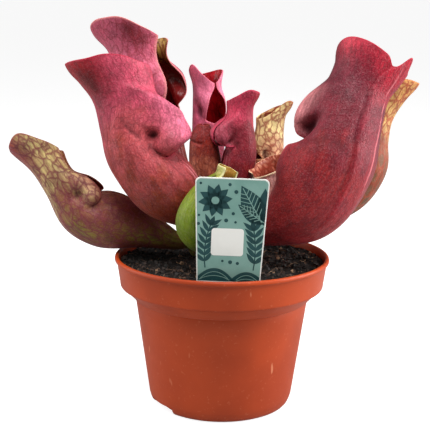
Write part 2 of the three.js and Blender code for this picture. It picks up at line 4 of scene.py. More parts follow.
import bmesh
import bpy
import numpy as np
from bpy.props import FloatProperty, FloatVectorProperty, IntProperty, PointerProperty
from mathutils import Matrix, Vector


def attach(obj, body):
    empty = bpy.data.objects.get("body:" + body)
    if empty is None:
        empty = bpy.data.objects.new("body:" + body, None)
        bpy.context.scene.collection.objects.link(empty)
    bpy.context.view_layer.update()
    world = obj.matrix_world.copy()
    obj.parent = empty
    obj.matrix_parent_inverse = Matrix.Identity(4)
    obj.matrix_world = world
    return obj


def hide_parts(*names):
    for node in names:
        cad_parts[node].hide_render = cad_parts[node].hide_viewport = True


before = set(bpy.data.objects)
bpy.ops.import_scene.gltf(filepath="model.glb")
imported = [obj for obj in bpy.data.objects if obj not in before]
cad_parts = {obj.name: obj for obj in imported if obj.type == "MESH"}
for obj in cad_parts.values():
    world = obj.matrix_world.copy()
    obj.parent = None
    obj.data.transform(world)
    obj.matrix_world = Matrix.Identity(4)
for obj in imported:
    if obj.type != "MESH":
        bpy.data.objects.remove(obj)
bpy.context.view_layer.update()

bl_info = {
    "name": "Potted Pitcher Plant",
    "version": (1, 0, 0),
    "blender": (4, 5, 0),
    "location": "View3D > Sidebar > Plant",
    "description": "Builds a potted pitcher plant with its pot, peat, label and leaves",
    "category": "Add Mesh",
}

MM = 0.001

# A cut or thickened piece with fewer vertices or faces than this is spoiled
LEAST_MESH = 1000


def rgb(red, green, blue):
    """A display colour of 0 to 255 as linear values with full alpha."""
    def linear(value):
        value /= 255
        return value / 12.92 if value <= 0.04045 else ((value + 0.055) / 1.055) ** 2.4
    return (linear(red), linear(green), linear(blue), 1.0)


# Camera: its place and lens in millimetres, and its turns in degrees
EYE = (0.0, -436.7, 172.6)
PITCH = 11.98
YAW = -0.41
ROLL = 0.69
LENS = 89.36

# Leaves, with the same values as their solids, in millimetres, stations and degrees. Their feet are on a ring
# round the crown. A place along a leaf is a row, which counts its stations from the foot, 0, and a turn goes
# round it from its front.
CROWN = (0.0, 8.0)
BASE_RING = 9.7
BASE_HEIGHT = 57.0
BASE_RADIUS = 1.9
BULB_ROUND = 0.85

# The skin's relief: the number of ribs, and turns and widths in degrees of the wing's two ridges and the keel.
# The fold's step and the coloured margin's width are in millimetres. FAR_FROM_EDGE stands for no edge near.
RIBS = 11
RIB_LEAN = 30
RIDGE_TURN = 4.6
RIDGE_WIDTH = 2.4
KEEL_WIDTH = 10
FOLD_STEP = 1.3
MARGIN_WIDTH = 6
MARGIN_THINNING = 0.35
FAR_FROM_EDGE = 90

# The axes of a leaf's offsets from its midline
FRONT, SIDE, ALONG = 0, 1, 2

# base     direction in which a leaf leaves the crown, from +X
# faces    direction in which its mouth looks, from +X, and upward tips that direction up
# twist    how far the hood is turned about the leaf
# lip      row of the mouth's front lip, and slant is how much higher the lip's line lies at the flanks
# mouth    half the mouth's width at the lip. The hood's flanks close in to shut, which they reach at closes,
#          and stand at spread at the hood's edge
# cheek    how far the bulb over the lip stands out, and reach is how far it goes round
# puff     its length in rows, with its fullest place at crest, a part of that length
# droop    how far it hangs down, and roll how far the flanks' edges curl in on it
# dimple   depth of the pit at the bulb's end, wing of the ridges in front and keel of the fold behind
# brim     how far the hood's edge rises and flare how far it leans out, at every 45 degrees from the back
# stations (x, y, z, half depth, half width) of the leaf's section on the way up
LEAVES = {
    "pitcher_left_front": dict(
        base=218, faces=-18, upward=0.35, twist=22,
        lip=3.5, slant=1.55, mouth=24, shut=4, spread=10, closes=0.12,
        cheek=9.8, reach=44, puff=2.7, crest=0.58, droop=6, roll=1.5, dimple=4.2, wing=2.6, keel=0.6,
        brim=[7.5, 7.5, 5.5, -1.5, -6, -8, -3, 3], flare=[4.5, 3, 1.5, 1.5, 1.5, 1.5, 1.5, 3],
        stations=[(-8.5, -1, 72.5, 3.2, 3.2), (-13, -5, 81.5, 7, 6.7), (-21.8, -9, 93.2, 14.6, 13.6),
                  (-31.8, -10, 107, 15, 13.5), (-36.3, -10, 118, 12.6, 12), (-39, -10, 129, 12.3, 11.5),
                  (-42, -10, 137, 12.4, 11.5), (-44.5, -10, 143, 12.2, 11.5)]),
    "pitcher_left_back": dict(
        base=125, faces=-38, upward=0.2, twist=18,
        lip=3.8, slant=1, mouth=34, shut=28, spread=20, closes=0.3,
        cheek=4, reach=44, puff=1.8, crest=0.42, droop=1.5, roll=1, dimple=3.5, wing=2.2, keel=0.6,
        brim=[6, 9.5, 9, 1, -7, -6, -5, 1], flare=[4, 2, 1.5, 1.5, 1.5, 1.5, 1.5, 2],
        stations=[(-9, 19, 73, 2.8, 2.8), (-15.5, 21.8, 83, 5.4, 5.4), (-27, 27.5, 101.5, 10.8, 10.8),
                  (-33, 26.5, 121.5, 13, 11.7), (-35, 25.5, 135, 12.6, 11.6), (-37.5, 25, 146.5, 12, 10.5),
                  (-40, 25, 154.5, 13, 11.2)]),
    "pitcher_left_low": dict(
        base=184, faces=-25, upward=1.9, twist=14,
        lip=4.65, slant=0.7, mouth=34, shut=12, spread=14, closes=0.55,
        cheek=4.4, reach=46, puff=2, crest=0.42, droop=2.1, roll=0.4, dimple=2.1, wing=2, keel=0.5,
        brim=[4.6, 7.4, 8.4, 0.2, -8, -7, -3, 2], flare=[1, 1, 1, 1, 1, 1, 1, 1],
        stations=[(-13, 6.5, 67, 3, 3), (-21.5, 6, 68.4, 4.2, 4.2), (-33, 5, 72.7, 7.8, 7.4),
                  (-47, 4.5, 77.2, 13, 11.4), (-57.5, 3, 81.4, 11.8, 10.6), (-66, 2, 91.5, 8, 7.6),
                  (-73, 2, 101, 6.8, 6.8), (-78.6, 2, 108, 7.6, 7.4)]),
    "pitcher_centre_back": dict(
        base=98, faces=-55, upward=0, twist=0,
        lip=4.2, slant=0.5, mouth=50, shut=3, spread=3, closes=0.85,
        cheek=1.5, reach=70, puff=1.5, crest=0.42, droop=0.5, roll=0, dimple=1.5, wing=1.5, keel=0.4,
        brim=[0.5, 2.5, 6, 1, -3, 1, 2, 1], flare=[1, 1, 0.3, 0.5, 0, 1, 1.5, 1],
        stations=[(-2, 20.5, 69, 2.6, 2.6), (-5, 26.5, 84.5, 4.6, 4.6), (-7, 32, 99, 6.6, 7),
                  (-6.5, 33.5, 113, 8, 7.3), (-7, 33.5, 124, 7.5, 6.6), (-7.5, 33.5, 131, 6.7, 6.2),
                  (-8, 33.5, 136, 6.8, 6.5)]),
    "pitcher_centre": dict(
        base=62, faces=-142, upward=0.1, twist=-22,
        lip=4, slant=0.7, mouth=34, shut=7, spread=8, closes=0.25,
        cheek=6.4, reach=46, puff=1.5, crest=0.42, droop=2, roll=1.2, dimple=2.2, wing=1, keel=0.4,
        brim=[3, 2, -2, -3, -3, 0, 4, 4], flare=[1, 1, 0.8, 0.8, 0.8, 0.8, 0.8, 1],
        stations=[(3.5, 15.5, 73, 2.6, 2.6), (4.5, 14.5, 84.5, 3.9, 3.9), (6.5, 13.5, 97.5, 5.8, 5.4),
                  (7, 13, 107, 6.4, 5.6), (6.2, 13, 116.5, 6.2, 5.8), (6.8, 13, 124, 5.3, 5.2),
                  (8, 13, 129, 5.5, 5.2)]),
    "pitcher_centre_low": dict(
        base=152, faces=95, upward=0.1, twist=0,
        lip=4, slant=0.4, mouth=34, shut=4, spread=4, closes=0.3,
        cheek=1.2, reach=60, puff=1.2, crest=0.42, droop=0.8, roll=0.5, dimple=1.6, wing=1, keel=0.4,
        brim=[0, 0, 0, 0, 0, 0, 0, 0], flare=[0, 0, 0, 0, 0, 0, 0, 0],
        stations=[(-5, 12, 71, 2.4, 2.4), (-5.5, 14, 86, 3.7, 3.7), (-7.3, 15.3, 97.5, 5.4, 5.4),
                  (-8.3, 15.8, 106, 5.5, 5.5), (-8.7, 16, 112, 5.3, 5.3), (-8.7, 16, 117, 2.6, 2.6)]),
    "pitcher_centre_right": dict(
        base=35, faces=-145, upward=0.1, twist=-22,
        lip=3.5, slant=0.45, mouth=36, shut=7, spread=10, closes=0.25,
        cheek=2.6, reach=46, puff=1.6, crest=0.42, droop=1, roll=1, dimple=1.8, wing=1, keel=0.4,
        brim=[4.5, 0.5, -4, -7, -9, -6, 2.2, 4.5], flare=[0, 0.4, 0.4, 0.4, 0.4, 0.4, 0.4, 0.4],
        stations=[(10, 16.5, 72.5, 2.6, 2.6), (13.5, 22, 83, 3.6, 3.6), (18.5, 26.5, 95, 5.8, 5.5),
                  (20, 27.5, 104.5, 6.4, 5.8), (19.8, 27.5, 112.5, 6.3, 5.8), (21, 27.5, 119, 5.4, 5),
                  (23.5, 27.5, 123.5, 4.6, 4.6)]),
    "pitcher_right_inner": dict(
        base=-14, faces=-110, upward=0.3, twist=0,
        lip=5.4, slant=0.1, mouth=70, shut=66, spread=70, closes=0.45,
        cheek=0, reach=60, puff=1, crest=0.42, droop=0, roll=0, dimple=0.3, wing=1.6, keel=0.4,
        brim=[1.5, 1, 0, 0, 0, 0, 0, 1], flare=[0.6, 0.6, 0.6, 0.6, 0.6, 0.6, 0.6, 0.6],
        stations=[(10, 3.5, 71.5, 2.8, 2.8), (12.5, 4, 76.5, 4.8, 4.8), (20.5, 5.5, 84.5, 7.8, 7.4),
                  (22, 5.5, 91.5, 8.6, 8.4), (20.8, 5.2, 97, 8.3, 8.3), (18.8, 5.4, 102, 8.3, 8.3)]),
    "pitcher_right_front": dict(
        base=-50, faces=140, upward=0.3, twist=12,
        lip=4.5, slant=0.9, mouth=32, shut=7, spread=10, closes=0.25,
        cheek=7, reach=46, puff=2.4, crest=0.28, droop=2.5, roll=2, dimple=5, wing=2.6, keel=1,
        brim=[-2.5, -1.5, 0, 1.5, 0, 3, 4.5, 1.5], flare=[3.5, 3, 1.2, 1.2, 1.2, 1.2, 1.2, 1.5],
        stations=[(9, -4, 70, 3.1, 3.1), (16, -10, 75.6, 5.9, 5.9), (33.5, -15, 88, 15, 15),
                  (43.5, -15, 104.5, 16, 18.6), (47, -13, 115.5, 15, 17.6), (50, -11, 125.5, 14, 15.5),
                  (53.5, -9, 134.5, 12.8, 13), (56.5, -7.5, 141.5, 12.6, 12.8), (58, -6.5, 147, 12.6, 12.6)]),
    "pitcher_right_back": dict(
        base=10, faces=172, upward=0.3, twist=0,
        lip=4.3, slant=0.7, mouth=34, shut=14, spread=24, closes=0.45,
        cheek=3.2, reach=46, puff=1.6, crest=0.42, droop=1.2, roll=1, dimple=2.4, wing=1.4, keel=0.5,
        brim=[4.5, 4, 1, -2, -4.5, -2, 1, 4], flare=[4, 2, 1, 1, 1, 1, 1, 2],
        stations=[(18.5, 15, 68.5, 2.8, 2.8), (32, 23, 72.6, 5, 5), (54.5, 30.5, 83.2, 7.7, 7.7),
                  (63.3, 31.5, 96, 8.6, 8.6), (64.5, 31.5, 108, 7.6, 7.4), (66, 31.5, 118.5, 7.5, 7.1),
                  (70.5, 31.5, 128, 6.8, 6.7), (73.5, 31.5, 134.5, 6.2, 6.2)]),
    "pitcher_young_green": dict(
        base=-112, faces=-55, upward=0.4, twist=0,
        lip=4.5, slant=0.4, mouth=50, shut=42, spread=40, closes=0.45,
        cheek=0.4, reach=70, puff=1, crest=0.42, droop=0.3, roll=0, dimple=0.6, wing=1, keel=0.4,
        brim=[0.5, 0.5, 0, 0, 0, 0, 0, 0.5], flare=[1, 0.6, 0.6, 0.6, 0.6, 0.6, 0.6, 0.6],
        stations=[(-6.5, -12, 69, 2.3, 2.3), (-9.5, -21, 75.5, 5.6, 5.6), (-10.5, -27, 83.5, 8.3, 8),
                  (-6.5, -27.5, 93, 7.2, 7), (0, -27, 100, 4.9, 4.8), (2, -26.3, 105, 3.8, 3.6)]),
}

# The flap past the fold is painted lighter, in the accent colour, as painted light.
# The skin beside the fold is also painted darker, as a painted shadow of the flap.
# Finer form of each leaf, which its solid leaves out, in millimetres, rows of stations, and degrees from the
# leaf's front, positive towards its left.
# rows and columns are the mesh's own, close crowds its rows at the lip, and rib is the ribs' height.
# tuck draws the lip in under the cheeks, and pit scales the hollow under them.
# nose is the ball that a cheek ends in: how far ahead, beside and up the leaf its middle is, and its radius.
# hole is a dent beside the nose: its middle in the same way, its size and its depth. It is also painted darker,
# as painted shade.
# waves change the hood's edge: turn, width, rise and lean outwards.
# swells fill the belly: row, turn, rows below, rows above, degrees and height.
# creases run across: row, height in rows, from turn, to turn and depth. The skin along them is also painted
# darker, as painted shade.
# fold is the line of (row, turn) pairs that the skin steps out along, and highlit_edge is a pale line beside
# it, a painted highlight.
# accents are patches of the accent colour: row, turn, rows, degrees and strength.
FINE = {
    "pitcher_left_front": dict(
        rows=112, columns=92, rib=0.12, close=6.5, tuck=4, pit=0.7,
        nose=(13.8, 3.4, 63.2, 8.0), hole=(8.8, 8.8, 66.4, 2.8, 4.5),
        waves=[(-62, 16, 0.7, 0.3), (-118, 18, -0.5, 0.2), (75, 20, 0.6, 0.2)],
        creases=[(3.66, 0.1, -100, -60, 0.5)], accents=[(6.4, -142, 1.7, 36, 0.95)]),
    "pitcher_left_back": dict(
        rows=80, columns=66, rib=0.12, waves=[(-70, 15, 0.6, 0.3), (-105, 15, -0.5, 0.2)],
        accents=[(6.45, -62, 0.8, 24, 1.0)], swells=[(4.5, 50, 0.9, 0.9, 45, 4.0)]),
    "pitcher_left_low": dict(
        rows=84, columns=66, rib=0.14, close=4, tuck=2.5, pit=0.8,
        nose=(7.4, 4.4, 61.6, 4.6), hole=(3.8, 7.8, 66.2, 2.2, 2.6), waves=[(-80, 15, 0.5, 0.2)],
        accents=[(2.7, -88, 0.9, 24, 1.0), (1.9, -50, 0.8, 60, 1.0), (4.3, -112, 0.5, 20, 0.7)]),
    "pitcher_centre_back": dict(rows=60, columns=50, rib=0.08),
    "pitcher_centre": dict(
        rows=72, columns=60, rib=0.08, close=4, tuck=1, pit=0.8,
        nose=(8.0, 1.8, 56.6, 3.3), hole=(6.6, 3.6, 55.0, 1.7, 1.8),
        accents=[(4.12, -29, 0.14, 12, 0.8)], swells=[(2.7, 0, 1.6, 1.6, 200, 2.2)]),
    "pitcher_centre_low": dict(
        rows=54, columns=46, rib=0.08, creases=[(4.3, 0.14, 90, 180, 0.5)],
        swells=[(2.7, 0, 1.6, 1.6, 200, 1.8)]),
    "pitcher_centre_right": dict(
        rows=58, columns=48, rib=0.08, waves=[(-105, 45, 2.4, 0.3), (100, 42, 1.6, 0.2)]),
    "pitcher_right_inner": dict(rows=54, columns=54, rib=0.08),
    "pitcher_right_front": dict(
        rows=98, columns=100, rib=0.12, tuck=2, pit=1.2,
        waves=[(150, 8, -2.2, 0), (171, 8, 5.5, 2.2), (60, 22, 0.8, 0.3)],
        fold=[(2.6, 161), (3.5, 152), (4.2, 144), (5.3, 133), (6.2, 127), (7.3, 133), (8.9, 151)],
        highlit_edge=[(3.4, 196), (3.9, 184), (4.8, 181), (6.3, 170), (7.4, 165), (9, 163)],
        creases=[(4.0, 0.13, 62, 142, 0.5)],
        accents=[(3.88, 26, 0.26, 24, 1.0), (8.6, 70, 1.0, 44, 1.0)], swells=[(3.85, 10, 1.1, 0.3, 58, 4.8)]),
    "pitcher_right_back": dict(rows=70, columns=54, rib=0.12),
    "pitcher_young_green": dict(rows=54, columns=48, rib=0.08),
}

# Colours of each leaf's skin, from its foot to its hood's tip, and of its edge, veins, patches and lines.
# net is the coarse net of veins: cell in millimetres, strength, width and start on the way up, 0 to 1. fine and
# streak are the strengths of the fine net and the streaks, and inside names the inner face's colours.
# The accent colour also paints the flap past a fold lighter, as painted light.
# The line colour also paints highlit_edge, a painted highlight along an edge.
LOOKS = {
    "pitcher_left_front": dict(
        foot=rgb(140, 104, 50), belly=rgb(140, 54, 20), shoulder=rgb(202, 86, 92), cheek=rgb(246, 124, 156),
        hood=rgb(216, 84, 110), tip=rgb(196, 14, 34), margin=rgb(180, 34, 60), vein=rgb(112, 24, 36),
        accent=rgb(88, 4, 10), line=rgb(226, 132, 140), net=(2.2, 0.32, 0.14, 0.0), fine=0.36, streak=0.34,
        inside="inside_red"),
    "pitcher_left_back": dict(
        foot=rgb(140, 100, 60), belly=rgb(150, 84, 68), shoulder=rgb(176, 84, 100), cheek=rgb(206, 104, 128),
        hood=rgb(222, 108, 136), tip=rgb(198, 78, 106), margin=rgb(216, 132, 130), vein=rgb(140, 40, 48),
        accent=rgb(104, 16, 10), line=rgb(214, 150, 150), net=(3.0, 0.5, 0.15, 0.0), fine=0.3, streak=0.35,
        inside="inside_yellow"),
    "pitcher_left_low": dict(
        foot=rgb(130, 134, 52), belly=rgb(124, 54, 40), shoulder=rgb(146, 92, 66), cheek=rgb(236, 188, 144),
        hood=rgb(216, 196, 128), tip=rgb(164, 64, 60), margin=rgb(156, 84, 76), vein=rgb(130, 58, 66),
        accent=rgb(146, 150, 52), line=rgb(160, 110, 80), net=(2.7, 0.8, 0.18, 0.22), fine=0.25, streak=0.6,
        inside="inside_net"),
    "pitcher_centre_back": dict(
        foot=rgb(150, 80, 70), belly=rgb(226, 96, 124), shoulder=rgb(250, 130, 164), cheek=rgb(250, 136, 168),
        hood=rgb(252, 138, 170), tip=rgb(236, 108, 140), margin=rgb(220, 110, 130), vein=rgb(160, 44, 72),
        accent=rgb(210, 120, 120), line=rgb(224, 130, 146), net=(3.0, 0.2, 0.14, 0.0), fine=0.2, streak=0.2,
        inside="inside_blood"),
    "pitcher_centre": dict(
        foot=rgb(120, 64, 56), belly=rgb(146, 34, 38), shoulder=rgb(156, 52, 66), cheek=rgb(184, 82, 100),
        hood=rgb(208, 66, 94), tip=rgb(190, 36, 64), margin=rgb(200, 66, 92), vein=rgb(120, 30, 48),
        accent=rgb(222, 150, 150), line=rgb(186, 90, 100), net=(2.4, 0.3, 0.14, 0.0), fine=0.36, streak=0.34,
        inside="inside_red"),
    "pitcher_centre_low": dict(
        foot=rgb(140, 96, 64), belly=rgb(196, 112, 82), shoulder=rgb(150, 50, 36), cheek=rgb(146, 38, 28),
        hood=rgb(138, 34, 24), tip=rgb(140, 40, 40), margin=rgb(150, 60, 50), vein=rgb(104, 26, 26),
        accent=rgb(190, 110, 90), line=rgb(190, 110, 90), net=(1.8, 0.55, 0.3, 0.0), fine=0.2, streak=0.35,
        inside="inside_red"),
    "pitcher_centre_right": dict(
        foot=rgb(170, 140, 90), belly=rgb(222, 158, 124), shoulder=rgb(226, 178, 136),
        cheek=rgb(238, 206, 146), hood=rgb(246, 228, 160), tip=rgb(190, 130, 80),
        margin=rgb(176, 110, 70), vein=rgb(150, 72, 54),
        accent=rgb(210, 140, 130), line=rgb(214, 170, 130), net=(2.3, 0.85, 0.19, 0.0), fine=0.1, streak=0.15,
        inside="inside_net"),
    "pitcher_right_inner": dict(
        foot=rgb(220, 150, 130), belly=rgb(255, 186, 178), shoulder=rgb(255, 190, 180),
        cheek=rgb(255, 190, 180), hood=rgb(246, 160, 144), tip=rgb(190, 120, 90),
        margin=rgb(255, 230, 186), vein=rgb(150, 56, 56),
        accent=rgb(210, 130, 120), line=rgb(220, 150, 140), net=(2.2, 0.15, 0.14, 0.0), fine=0.2, streak=0.3,
        inside="inside_brown"),
    "pitcher_right_front": dict(
        foot=rgb(252, 112, 76), belly=rgb(160, 40, 42), shoulder=rgb(124, 34, 48), cheek=rgb(236, 150, 152),
        hood=rgb(112, 32, 48), tip=rgb(196, 32, 54), margin=rgb(186, 46, 66), vein=rgb(92, 20, 36),
        accent=rgb(222, 62, 82), line=rgb(222, 120, 126), net=(2.0, 0.22, 0.16, 0.0), fine=0.45, streak=0.35,
        inside="inside_red"),
    "pitcher_right_back": dict(
        foot=rgb(120, 106, 60), belly=rgb(104, 76, 50), shoulder=rgb(150, 100, 74), cheek=rgb(200, 164, 104),
        hood=rgb(214, 176, 110), tip=rgb(212, 156, 88), margin=rgb(200, 130, 74), vein=rgb(160, 70, 44),
        accent=rgb(160, 110, 90), line=rgb(190, 150, 100), net=(2.8, 0.88, 0.2, 0.0), fine=0.2, streak=0.35,
        inside="inside_net"),
    "pitcher_young_green": dict(
        foot=rgb(90, 104, 20), belly=rgb(112, 132, 18), shoulder=rgb(136, 148, 34), cheek=rgb(176, 178, 80),
        hood=rgb(200, 194, 112), tip=rgb(216, 206, 150), margin=rgb(230, 220, 166), vein=rgb(92, 120, 30),
        accent=rgb(170, 180, 80), line=rgb(176, 190, 80), net=(2.0, 0.35, 0.18, 0.0), fine=0.2, streak=0.3,
        inside="inside_gold"),
}

# Colours of the leaves' inner faces: near the edge, in the depth and of the veins, whose net is cell,
# strength and width
# The colours in the depth are partly painted shade inside the tube.
INSIDES = {
    "inside_red": dict(
        ground=rgb(170, 40, 56), deep=rgb(110, 12, 24), vein=rgb(90, 14, 22), net=(2.6, 0.5, 0.2)),
    # The yellow ground is a painted glow of light shining through the leaf, and the deep red is painted shade.
    "inside_yellow": dict(
        ground=rgb(216, 178, 96), deep=rgb(104, 6, 10), vein=rgb(110, 24, 22), net=(3.0, 0.85, 0.26)),
    "inside_blood": dict(
        ground=rgb(176, 16, 30), deep=rgb(176, 12, 24), vein=rgb(70, 6, 12), net=(3.0, 0.4, 0.2)),
    "inside_brown": dict(
        ground=rgb(250, 180, 146), deep=rgb(226, 130, 104), vein=rgb(150, 56, 40), net=(2.0, 0.9, 0.34)),
    "inside_net": dict(
        ground=rgb(210, 172, 116), deep=rgb(150, 70, 48), vein=rgb(140, 50, 38), net=(2.4, 0.95, 0.3)),
    "inside_gold": dict(
        ground=rgb(180, 156, 60), deep=rgb(120, 90, 30), vein=rgb(160, 84, 40), net=(2.2, 0.5, 0.2)),
}

# Plain stuffs, each in a colour of its own with darker clouds, pale specks and scratches over it
STUFFS = {
    "terracotta_plastic": dict(
        dark=rgb(158, 56, 20), pale=rgb(228, 150, 112), rough=0.4, specks=0.12, scratches=0.5,
        grain=700.0, cloud=28.0, bump=0.05),
    "damp_peat": dict(
        dark=rgb(16, 12, 10), pale=rgb(74, 56, 44), rough=0.85, specks=0.55, grain=1100.0, cloud=300.0,
        bump=0.9),
    "old_stem": dict(
        dark=rgb(58, 38, 26), pale=rgb(150, 116, 80), rough=0.7, specks=0.4, grain=900.0, cloud=220.0,
        bump=0.5),
    "label_plastic": dict(
        dark=rgb(226, 227, 220), pale=rgb(250, 250, 246), rough=0.3, specks=0.1, grain=500.0, cloud=60.0,
        bump=0.03),
    "label_ground": dict(
        dark=rgb(116, 156, 146), pale=rgb(150, 186, 176), rough=0.33, specks=0.25, grain=1400.0, cloud=120.0,
        bump=0.03),
    "label_ink": dict(
        dark=rgb(28, 62, 64), pale=rgb(62, 100, 98), rough=0.35, specks=0.4, grain=1600.0, cloud=200.0,
        bump=0.03),
}

# Gloss of the leaves and of the plain stuffs, as the shader's specular level
LEAF_GLOSS = 0.2
STUFF_GLOSS = 0.25

# Pot, in millimetres and degrees
DRAIN_HOLES = 5
DRAIN_RADIUS = 3
DRAIN_CIRCLE = 17
NOTCH_MIDDLES = (210, 30)
NOTCH_HALF_SPAN = 18.5
NOTCH_RING = (25.3, 36)
NOTCH_HEIGHT = 3.6

# Peat, in millimetres, with the place of the label, where no crumbs lie
PEAT_RADIUS = 42.4
PEAT_RINGS = 46
CRUMBS_RADIUS = 42
LABEL_CLEARANCE = dict(x=2, y=-36, half_width=13, half_depth=2.2)

# Label, in millimetres and degrees: its stake's tip, its lean forwards and to the right, and its plate. The
# stake's tip and top are half widths.
LABEL_FOOT = (2.2, -35.9, 48.5)
LABEL_FORWARD = 5.5
LABEL_RIGHT = 1.5
LABEL_CORNER = 2.0
STAKE_LENGTH = 13.5
STAKE_TIP = 1.5
STAKE_TOP = 12.3
PLATE_THICKNESS = 0.6
INK_THICKNESS = 0.015
PRINT_INSET = 0.45


# Curves and reliefs

def through(values, place):
    """A smooth curve through a list of numbers, read at any places between the first, 0, and the last."""
    values = np.asarray(values, float)
    last = len(values) - 1
    index = np.clip(np.floor(place), 0, last - 1).astype(int)
    f = place - index
    padded = np.concatenate([[2 * values[0] - values[1]], values, [2 * values[-1] - values[-2]]])
    a, b, c, d = (padded[index + k] for k in range(4))
    return b + 0.5 * f * (c - a + f * (2 * a - 5 * b + 4 * c - d + f * (3 * (b - c) + d - a)))


def around(values, turn):
    """A smooth closed curve through 8 numbers at every 45 degrees from -180, read at any turns."""
    values = np.asarray(values, float)
    place = (turn + 180) / 45
    index = np.floor(place).astype(int)
    f = place - index
    a, b, c, d = (values[(index + k) % 8] for k in (-1, 0, 1, 2))
    return b + 0.5 * f * (c - a + f * (2 * a - 5 * b + 4 * c - d + f * (3 * (b - c) + d - a)))


def apart(turn, other):
    """How far a turn lies past another one, from -180 to 180 degrees."""
    return (turn - other + 180) % 360 - 180


def hump(x, centre, below, above=None):
    """A hump of height 1 at centre that falls away over its own width on either side."""
    width = np.where(x < centre, below, below if above is None else above)
    return np.exp(-(((x - centre) / width) ** 2))


def ease(x, start, end):
    """A smooth step from 0 at start to 1 at end."""
    f = np.clip((x - start) / (end - start), 0, 1)
    return f * f * (3 - 2 * f)


def unit(vectors):
    """Vectors of length 1 in the same directions."""
    return vectors / np.linalg.norm(vectors, axis=-1, keepdims=True)


def stations_of(leaf):
    """The leaf's stations with its foot on the ring round the crown put first."""
    turn = math.radians(leaf["base"])
    start = (CROWN[0] + BASE_RING * math.cos(turn), CROWN[1] + BASE_RING * math.sin(turn), BASE_HEIGHT)
    return np.array([(*start, BASE_RADIUS, BASE_RADIUS), *leaf["stations"]], float)


def middle_at(stations, place):
    """Points of the leaf's midline at its places."""
    return np.stack([through(stations[:, axis], place) for axis in range(3)], axis=-1)


def midline(stations, facing, place):
    """The leaf's midline at its places, with the directions along it, to its front and to its side."""
    along = unit(middle_at(stations, place + 0.02) - middle_at(stations, place - 0.02))
    front = unit(facing - along * (along @ facing)[..., None])
    return middle_at(stations, place), along, front, np.cross(along, front)


def run_along(stations, place):
    """How far along the midline from its foot the places lie, and the whole midline's length."""
    spots = np.linspace(0, len(stations) - 1, 200)
    steps = np.linalg.norm(np.diff(middle_at(stations, spots), axis=0), axis=1)
    reached = np.concatenate([[0], np.cumsum(steps)])
    return np.interp(place, spots, reached), reached[-1]


def mouth_turns(leaf, rise, column):
    """Half the mouth's opening at each point, and the turns of the columns spread over what it leaves."""
    mouth, shut = leaf["mouth"], leaf["shut"]
    closing = shut + (mouth - shut) * (1 - ease(rise, 0, leaf["closes"]))
    opening = closing + (leaf["spread"] - shut) * ease(rise, 0.6, 1)
    spaced = opening + (column - mouth) * (180 - opening) / (180 - mouth)
    return opening, np.where((rise > 0) & (column >= mouth), spaced, column)


def add_cheeks(leaf, fine, offset, above, turn, opening):
    """Adds the cheeks over the lip, with a crease and a pit under them, and returns the three as masks. The
    crease's and the pit's masks paint the skin darker there as painted shade.
    """
    cos, sin = np.cos(np.radians(turn)), np.sin(np.radians(turn))
    puff, crest = leaf["puff"], leaf["crest"]
    lift = above / puff
    full = np.where(lift < crest, np.maximum(0, 1 - ((crest - lift) / crest) ** 2) ** BULB_ROUND,
                    1 - ease(lift, crest, 1))
    widening = ease(lift, 0.1, 0.8)
    cheek = full * np.exp(-(turn / leaf["reach"] / (1 + 0.5 * widening)) ** (4 - 2 * widening))
    offset[FRONT] += leaf["cheek"] * cheek
    offset[SIDE] += 0.3 * leaf["cheek"] * cheek * sin
    offset[ALONG] -= leaf["droop"] * cheek * (1 - ease(above, 0.2 * puff, 0.6 * puff))
    offset[FRONT] -= leaf["roll"] * cheek * hump(turn, opening, 12)
    crease = hump(above, -0.05, 0.35, 0.15) * hump(turn, leaf["reach"], 25, 30)
    offset[FRONT] -= 0.3 * leaf["dimple"] * crease * cos
    offset[SIDE] -= 0.3 * leaf["dimple"] * crease * sin
    pit = hump(above, 0.2, 0.28, 0.22) * hump(turn, leaf["reach"] + 6, 12, 16)
    offset[SIDE] -= fine.get("pit", 1.0) * leaf["dimple"] * pit
    return cheek, crease, pit


def add_nose(nose, offset, run, above, turn, opening):
    """Pushes the skin out to the surface of the ball that a cheek ends in, and lifts the lip's middle."""
    ahead, beside, height, radius = nose
    off = offset[FRONT] - ahead, offset[SIDE] - beside, run + offset[ALONG] - height
    far = np.sqrt(off[0] ** 2 + off[1] ** 2 + off[2] ** 2)
    grow = ((far ** 8 + radius ** 8) ** 0.125 / far - 1) * ease(above, 0, 0.1)
    offset[FRONT] -= 0.3 * radius * hump(turn, opening, 16) * hump(above, 0.25, 0.3, 0.45)
    for axis in (FRONT, SIDE, ALONG):
        offset[axis] += off[axis] * grow
    offset[ALONG] += 0.38 * radius * hump(turn, 0, 30) * hump(above, 0, 0.5, 0.08)


def add_hole(hole, offset, run):
    """Dents the skin beside a nose and returns the dent as a mask, which paints the skin darker there as
    painted shade.
    """
    ahead, beside, height, size, depth = hole
    far = (offset[FRONT] - ahead) ** 2 + (offset[SIDE] - beside) ** 2 + (run + offset[ALONG] - height) ** 2
    dent = np.exp(-far / size ** 2)
    offset[SIDE] -= depth * dent
    return dent


def add_edge(leaf, fine, offset, rise, turn, signed):
    """Raises and flares the hood towards its edge, with the edge's small waves."""
    flare = around(leaf["flare"], signed) * ease(rise, 0.45, 1) ** 1.5
    offset[ALONG] += rise ** 1.5 * around(leaf["brim"], signed)
    for wave_turn, width, height, lean in fine.get("waves", []):
        wave = rise ** 4 * hump(apart(signed, wave_turn), 0, width)
        offset[ALONG] += height * wave
        flare += lean * wave
    offset[FRONT] += flare * np.cos(np.radians(turn))
    offset[SIDE] += flare * np.sin(np.radians(turn))


